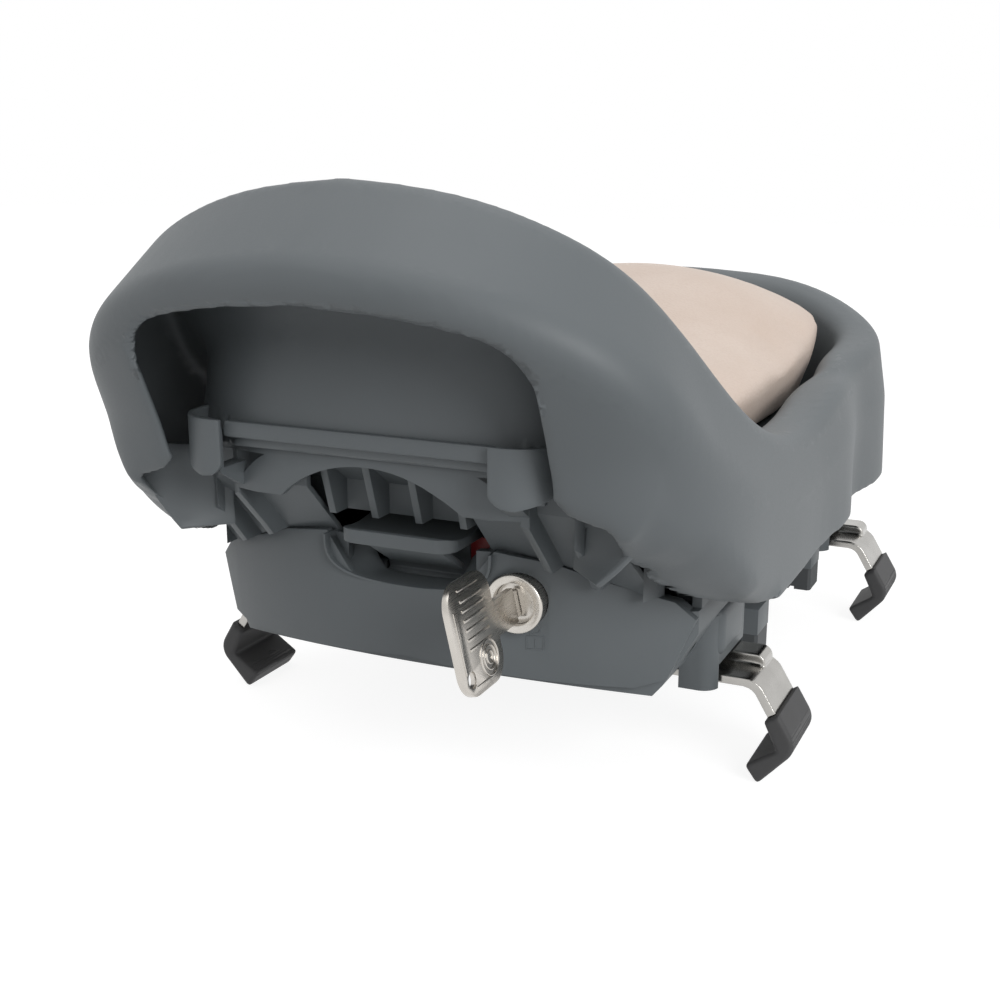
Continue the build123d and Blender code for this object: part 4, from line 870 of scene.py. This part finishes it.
@dataclass
class Trims:
    """Mouldings that the CAD lacks: lip, corner covers, inner walls, finger bowl and casing ends."""

    lip_half_mm: float = 45.2
    lip_rear_mm: float = -143.4
    lip_front_mm: float = -139.6
    lip_foot_mm: float = 122.6
    lip_top_mm: float = 127.7
    lip_lean_mm: float = 0.6
    lip_grid: tuple[int, int] = (8, 2)
    cover_start_mm: float = 44.4
    cover_bend_mm: float = 48.0
    cover_radius_mm: float = 14.3
    cover_rear_mm: float = -145.2
    cover_top_mm: float = 128.4
    cover_tail_mm: float = 9.0
    cover_wall_mm: float = 1.6
    cover_grid: tuple[int, int] = (28, 10)
    # Foot of a corner cover, by its share from the lip to the side
    cover_foot_mm: tuple[tuple[float, float], ...] = (
        (0.0, 114.5), (0.04, 112.4), (0.1, 111.0), (0.22, 110.4), (0.45, 112.5), (0.7, 116.0), (1.0, 118.0))
    wall_rear_mm: float = -131.0
    wall_front_mm: float = -118.0
    wall_top_mm: float = 114.3
    wall_inner_mm: float = 60.0
    wall_thick_mm: float = 2.0
    wall_grid: tuple[int, int] = (14, 10)
    # Rear edge of an inner wall: height and half width
    wall_side_mm: tuple[tuple[float, float], ...] = (
        (87.5, 72.0), (92.0, 77.0), (97.0, 81.5), (104.0, 87.0), (114.3, 91.0))
    end_mm: tuple[float, float, float] = (12.0, 27.0, 18.0)
    end_place_mm: tuple[float, float, float] = (83.4, -45.5, 51.5)
    end_edge_mm: float = 4.0
    end_segments: int = 5
    bowl_rear_mm: float = -112.6
    bowl_front_mm: float = -100.5
    bowl_half_mm: float = 29.6
    bowl_foot_mm: float = 72.1
    bowl_top_mm: float = 86.2
    bowl_rise_mm: float = 8.0
    # Beside the lever's slot the bowl's foot rises over this width, late along its depth
    bowl_slot_mm: float = 15.5
    bowl_slope_mm: float = 5.0
    bowl_lateness: int = 3
    # How full it is in plan and in section, and how much narrower its inner end is
    bowl_plan: float = 0.75
    bowl_section: float = 0.6
    bowl_taper: float = 0.08
    bowl_wall_mm: float = 0.8
    bowl_grid: tuple[int, int] = (40, 10)

    def cover(self, side: int) -> Object:
        """Panel beside the lip that turns forward round the corner.

        Args:
            side: 1 for the right, -1 for the left.

        Returns:
            The panel.
        """
        flat = self.cover_bend_mm - self.cover_start_mm
        bend = self.cover_radius_mm * math.pi / 2

        def shape(across: float, up: float) -> tuple[float, float, float]:
            """Runs flat, round the bend and straight forward."""
            run = across * (flat + bend + self.cover_tail_mm)
            centre = self.cover_rear_mm + self.cover_radius_mm
            turn = min(max(run - flat, 0.0) / self.cover_radius_mm, math.pi / 2)
            x = self.cover_start_mm + min(run, flat) + self.cover_radius_mm * math.sin(turn)
            y = centre - self.cover_radius_mm * math.cos(turn) + max(run - flat - bend, 0.0)
            foot = along(self.cover_foot_mm, across, 1)
            return side * x, y, foot + (self.cover_top_mm - foot) * up

        return sheet(f"corner_cover_{side_name(side)}", *self.cover_grid, shape, self.cover_wall_mm)

    def wall(self, side: int) -> Object:
        """Inner wall between the ribs and the skirt.

        Args:
            side: 1 for the right, -1 for the left.

        Returns:
            The wall.
        """
        def shape(across: float, up: float) -> tuple[float, float, float]:
            """Slanted wall whose rear edge follows the skirt."""
            z = self.wall_side_mm[0][0] + (self.wall_top_mm - self.wall_side_mm[0][0]) * up
            outer = along(self.wall_side_mm, z, 1)
            x = outer + (self.wall_inner_mm - outer) * across
            return side * x, self.wall_rear_mm + (self.wall_front_mm - self.wall_rear_mm) * across, z

        return sheet(f"inner_wall_{side_name(side)}", *self.wall_grid, shape, self.wall_thick_mm)

    def bowl(self) -> Object:
        """Smooth scoop under the lever, so that fingers find it."""
        def shape(across: float, inward: float) -> tuple[float, float, float]:
            """A rounded trough that rises beside the lever's slot."""
            turn = math.pi * (across - 0.5)
            x = self.bowl_half_mm * math.copysign(abs(math.sin(turn)) ** self.bowl_plan, turn)
            depth = self.bowl_top_mm - self.bowl_foot_mm
            z = self.bowl_top_mm - depth * math.cos(turn) ** self.bowl_section
            beside = min(max((abs(x) - self.bowl_slot_mm) / self.bowl_slope_mm, 0.0), 1.0)
            rise = self.bowl_rise_mm * beside * inward ** self.bowl_lateness
            y = self.bowl_rear_mm + (self.bowl_front_mm - self.bowl_rear_mm) * inward
            return x * (1.0 - self.bowl_taper * inward), y, min(z + rise, self.bowl_top_mm)

        return sheet("finger_bowl", *self.bowl_grid, shape, self.bowl_wall_mm)

    def casing_end(self, side: int) -> Object:
        """Rounded end of the casing above a rear arm.

        Args:
            side: 1 for the right, -1 for the left.

        Returns:
            The end.
        """
        block = rounded_block(Vector(self.end_mm) * MM, self.end_edge_mm, self.end_segments)
        x, y, z = self.end_place_mm
        place = Matrix.Translation(Vector((side * x, y, z)) * MM)
        return joined([block], f"casing_end_{side_name(side)}", place, "seat", Finish.SHELL)

    def lip(self) -> Object:
        """Flat band along the bucket's lower rear edge."""
        def shape(across: float, up: float) -> tuple[float, float, float]:
            """A straight band that leans a little with the bucket."""
            x = self.lip_half_mm * (2.0 * across - 1.0)
            return x, (self.lip_rear_mm + self.lip_front_mm) / 2 + up * self.lip_lean_mm, (
                self.lip_foot_mm + (self.lip_top_mm - self.lip_foot_mm) * up)

        return sheet("lip_band", *self.lip_grid, shape, self.lip_front_mm - self.lip_rear_mm)

    def build(self) -> list[Object]:
        """Makes the trims of both sides."""
        sides = [part(side) for side in (-1, 1) for part in (self.cover, self.wall)]
        return [self.lip(), self.bowl(), self.casing_end(-1), self.casing_end(1), *sides]


@dataclass
class Lever:
    """Release lever with its red flag."""

    edge_mm: float = 1.3
    neck_mm: tuple[float, float, float] = (27.0, 2.4, 17.0)
    neck_place_mm: tuple[float, float, float] = (2.0, -108.6, 82.2)
    neck_lean_deg: float = 58.0
    neck_edge_mm: float = 0.8

    def neck(self) -> Object:
        """Slanted plate that carries the paddle down to the pin."""
        plate = rounded_block(Vector(self.neck_mm) * MM, self.neck_edge_mm)
        turn = Matrix.Rotation(math.radians(self.neck_lean_deg), 4, "X")
        place = Matrix.Translation(Vector(self.neck_place_mm) * MM) @ turn
        return joined([plate], "lever_neck", place, "lever", Finish.SHELL)

    def build(self) -> list[Object]:
        """Rounds the lever and colours the flag."""
        lever = shown_copy("release_lever", "lever_skin", "lever", Finish.SHELL)
        soften(lever, self.edge_mm, segments=1)
        return [lever, self.neck(), dress_node("state_flag", Finish.FLAG)]


@dataclass
class Lock:
    """Lock housing, plug, cam and key."""

    edge_mm: float = 0.3
    axis_mm: tuple[float, float, float] = (37.5, 0.0, 71.5)
    tilt_deg: float = -13.0
    face_mm: float = 1.1
    bow_rear_mm: float = -153.9
    bow_length_mm: float = 27.0
    bow_height_mm: float = 34.0
    frame_inset_mm: float = 2.6
    # Border: width, and the lengths of its lines as shares of half the framed field
    border_mm: float = 0.8
    border_along: float = 1.2
    border_up: float = 1.3
    # Bars: pitch, number, how many pitches lie below the axis, width, length as a share, shift forward
    bar_pitch_mm: float = 2.9
    bar_count: int = 6
    bar_start: float = 1.2
    bar_mm: float = 1.0
    bar_along: float = 1.3
    bar_shift_mm: float = 1.0
    # Rings: radii, wire, and their middle forward of the bow's middle and above the axis
    ring_radii_mm: tuple[float, ...] = (1.9, 3.6, 5.3)
    ring_wire_mm: float = 0.35
    ring_place_mm: tuple[float, float] = (4.5, -8.8)
    raised_mm: float = 0.5

    def line(self, length_mm: float, width_mm: float, place_mm: Sequence[float]) -> Object:
        """One raised line of the grip pattern.

        Args:
            length_mm: Its length along Y.
            width_mm: Its width along Z.
            place_mm: Its middle.

        Returns:
            The line.
        """
        return raised_bar(length_mm, width_mm, self.raised_mm, place_mm)

    def relief(self) -> Object:
        """Plain raised grip pattern on both faces of the key's bow: a border, bars and rings."""
        bars = []
        middle = self.bow_rear_mm + self.bow_length_mm / 2
        half_y = self.bow_length_mm / 2 - self.frame_inset_mm
        half_z = self.bow_height_mm / 2 - self.frame_inset_mm
        ring_y, ring_z = self.ring_place_mm
        for side in (-1, 1):
            x = side * self.face_mm
            for edge in (-1, 1):
                bars.append(self.line(half_y * self.border_along, self.border_mm, (x, middle, edge * half_z)))
            bars.append(self.line(self.border_mm, half_z * self.border_up, (x, middle - half_y, 0.0)))
            for number in range(self.bar_count):
                z = self.bar_pitch_mm * (number - self.bar_start)
                bars.append(self.line(
                    half_y * self.bar_along, self.bar_mm, (x, middle + self.bar_shift_mm, z)))
            for radius in self.ring_radii_mm:
                bars.append(raised_ring(radius, self.ring_wire_mm, (x, middle + ring_y, ring_z)))
        turn = Matrix.Rotation(math.radians(self.tilt_deg), 4, "Y")
        place = Matrix.Translation(Vector(self.axis_mm) * MM) @ turn
        return joined(bars, "key_relief", place, "key", Finish.LOCK)

    def build(self) -> list[Object]:
        """Rounds and dresses the lock's pieces."""
        pieces = [self.relief()]
        for node, body in (("lock_housing", "seat"), ("lock_plug", "plug"), ("key", "key")):
            piece = shown_copy(node, f"{node}_skin", body, Finish.LOCK)
            soften(piece, self.edge_mm)
            pieces.append(piece)
        for node in ("lock_clip", "cam_nut"):
            pieces.append(dress_node(node, Finish.DRIVE))
        for node in ("lock_cam", "key_blade"):
            pieces.append(dress_node(node, Finish.LOCK))
        return pieces


@dataclass
class Studio:
    """Pale floor, soft lamps and the camera at the photograph's angle."""

    lens_mm: float = 50.0
    sensor_mm: float = 36.0
    place_mm: tuple[float, float, float] = (202.69, -481.40, 210.69)
    heading_deg: float = 24.69
    pitch_deg: float = 14.69
    sight_m: float = 50.0
    # Where the lamps point, in metres
    aim: tuple[float, float, float] = (0.0, 0.0, 0.1)
    floor_mm: float = 6000.0
    floor_drop_m: float = 0.0002
    # Strength of the air where only the seat and the floor see it, then the floor's glow and tones
    air: float = 0.5
    floor_glow: float = 0.88
    floor_white: float = 0.3
    floor_bounce: float = 0.45
    # Name, place in metres, width in metres and power in watts
    lamps: tuple[tuple[str, tuple[float, float, float], float, float], ...] = (
        ("key_lamp", (1.5, -1.0, 0.95), 1.1, 18.0),
        ("fill_lamp", (-0.5, -1.2, 2.0), 1.3, 4.5),
        ("top_lamp", (-0.1, 0.5, 1.9), 1.3, 6.0),
    )

    def build(self) -> None:
        """Adds the camera, the lamps, the world and the floor."""
        self.add_camera()
        for name, place, size, power in self.lamps:
            self.add_lamp(name, place, size, power)
        self.add_world()
        self.add_floor()

    def add_camera(self) -> None:
        """Sets the camera where the photograph was taken."""
        data = bpy.data.cameras.new("photo_camera")
        data.lens, data.sensor_width = self.lens_mm, self.sensor_mm
        data.clip_end = self.sight_m
        camera = bpy.data.objects.new("photo_camera", data)
        bpy.context.collection.objects.link(camera)
        camera.location = Vector(self.place_mm) * MM
        camera.rotation_euler = (math.radians(90 - self.pitch_deg), 0.0, math.radians(self.heading_deg))
        bpy.context.scene.camera = camera
        bpy.context.scene.view_settings.view_transform = "Standard"

    def add_lamp(self, name: str, place: Sequence[float], size: float, power: float) -> None:
        """Adds one soft lamp that faces the seat.

        Args:
            name: The lamp's name.
            place: Where it hangs, in metres.
            size: Its width in metres.
            power: Its power in watts.
        """
        data = bpy.data.lights.new(name, "AREA")
        data.shape, data.size, data.energy = "DISK", size, power
        lamp = bpy.data.objects.new(name, data)
        bpy.context.collection.objects.link(lamp)
        lamp.location = place
        lamp.rotation_euler = (Vector(self.aim) - Vector(place)).to_track_quat("-Z", "Y").to_euler()

    def add_world(self) -> None:
        """Even pale light, white where the camera or a reflection sees it."""
        world = bpy.data.worlds.new("studio_air")
        bpy.context.scene.world = world
        world.use_nodes = True
        tree = world.node_tree
        tree.nodes.clear()
        path = add_node(tree, "ShaderNodeLightPath")
        seen = add_node(tree, "ShaderNodeMath", {"operation": "MAXIMUM"}, {
            0: path.outputs["Is Camera Ray"], 1: path.outputs["Is Glossy Ray"]})
        strength = add_node(tree, "ShaderNodeMapRange", inputs={
            "Value": seen.outputs[0], "To Min": self.air, "To Max": 1.0})
        light = add_node(tree, "ShaderNodeBackground", inputs={
            "Color": linear("#ffffff"), "Strength": strength.outputs["Result"]})
        add_node(tree, "ShaderNodeOutputWorld", inputs={"Surface": light.outputs[0]})

    def add_floor(self) -> None:
        """Lays a pale floor under the claws."""
        deselect()
        bpy.ops.mesh.primitive_plane_add(size=self.floor_mm * MM, location=(0, 0, -self.floor_drop_m))
        floor = bpy.context.active_object
        floor.name = "studio_floor"
        fix_place(floor)
        floor.data.materials.append(self.paper())

    def paper(self) -> Material:
        """White sweep: it glows for the camera, keeps a faint shadow and throws back little light."""
        material = bpy.data.materials.new("paper_white")
        material.use_nodes = True
        tree = material.node_tree
        tree.nodes.clear()
        path = add_node(tree, "ShaderNodeLightPath")
        glow = add_node(tree, "ShaderNodeEmission", inputs={"Strength": self.floor_glow})
        shaded = add_node(tree, "ShaderNodeBsdfDiffuse", inputs={"Color": (*(self.floor_white,) * 3, 1.0)})
        dull = add_node(tree, "ShaderNodeBsdfDiffuse", inputs={"Color": (*(self.floor_bounce,) * 3, 1.0)})
        shown = add_node(tree, "ShaderNodeAddShader", inputs={0: glow.outputs[0], 1: shaded.outputs[0]})
        seen = add_node(tree, "ShaderNodeMath", {"operation": "MAXIMUM"}, {
            0: path.outputs["Is Camera Ray"], 1: path.outputs["Is Glossy Ray"]})
        mix = add_node(tree, "ShaderNodeMixShader", inputs={
            0: seen.outputs[0], 1: dull.outputs[0], 2: shown.outputs[0]})
        add_node(tree, "ShaderNodeOutputMaterial", inputs={"Surface": mix.outputs[0]})
        return material


def main() -> None:
    """Builds every sub-assembly in order and reports its pieces."""
    logging.basicConfig(level=logging.INFO)
    Studio().build()
    for part in (Shell(), Housing(), Trims(), Cushion(), Carriages(), Drive(), Lever(), Lock()):
        for piece in part.build():
            LOG.info("%s: %s, %d faces", type(part).__name__, piece.name, len(piece.data.polygons))


if __name__ == "__main__":
    main()
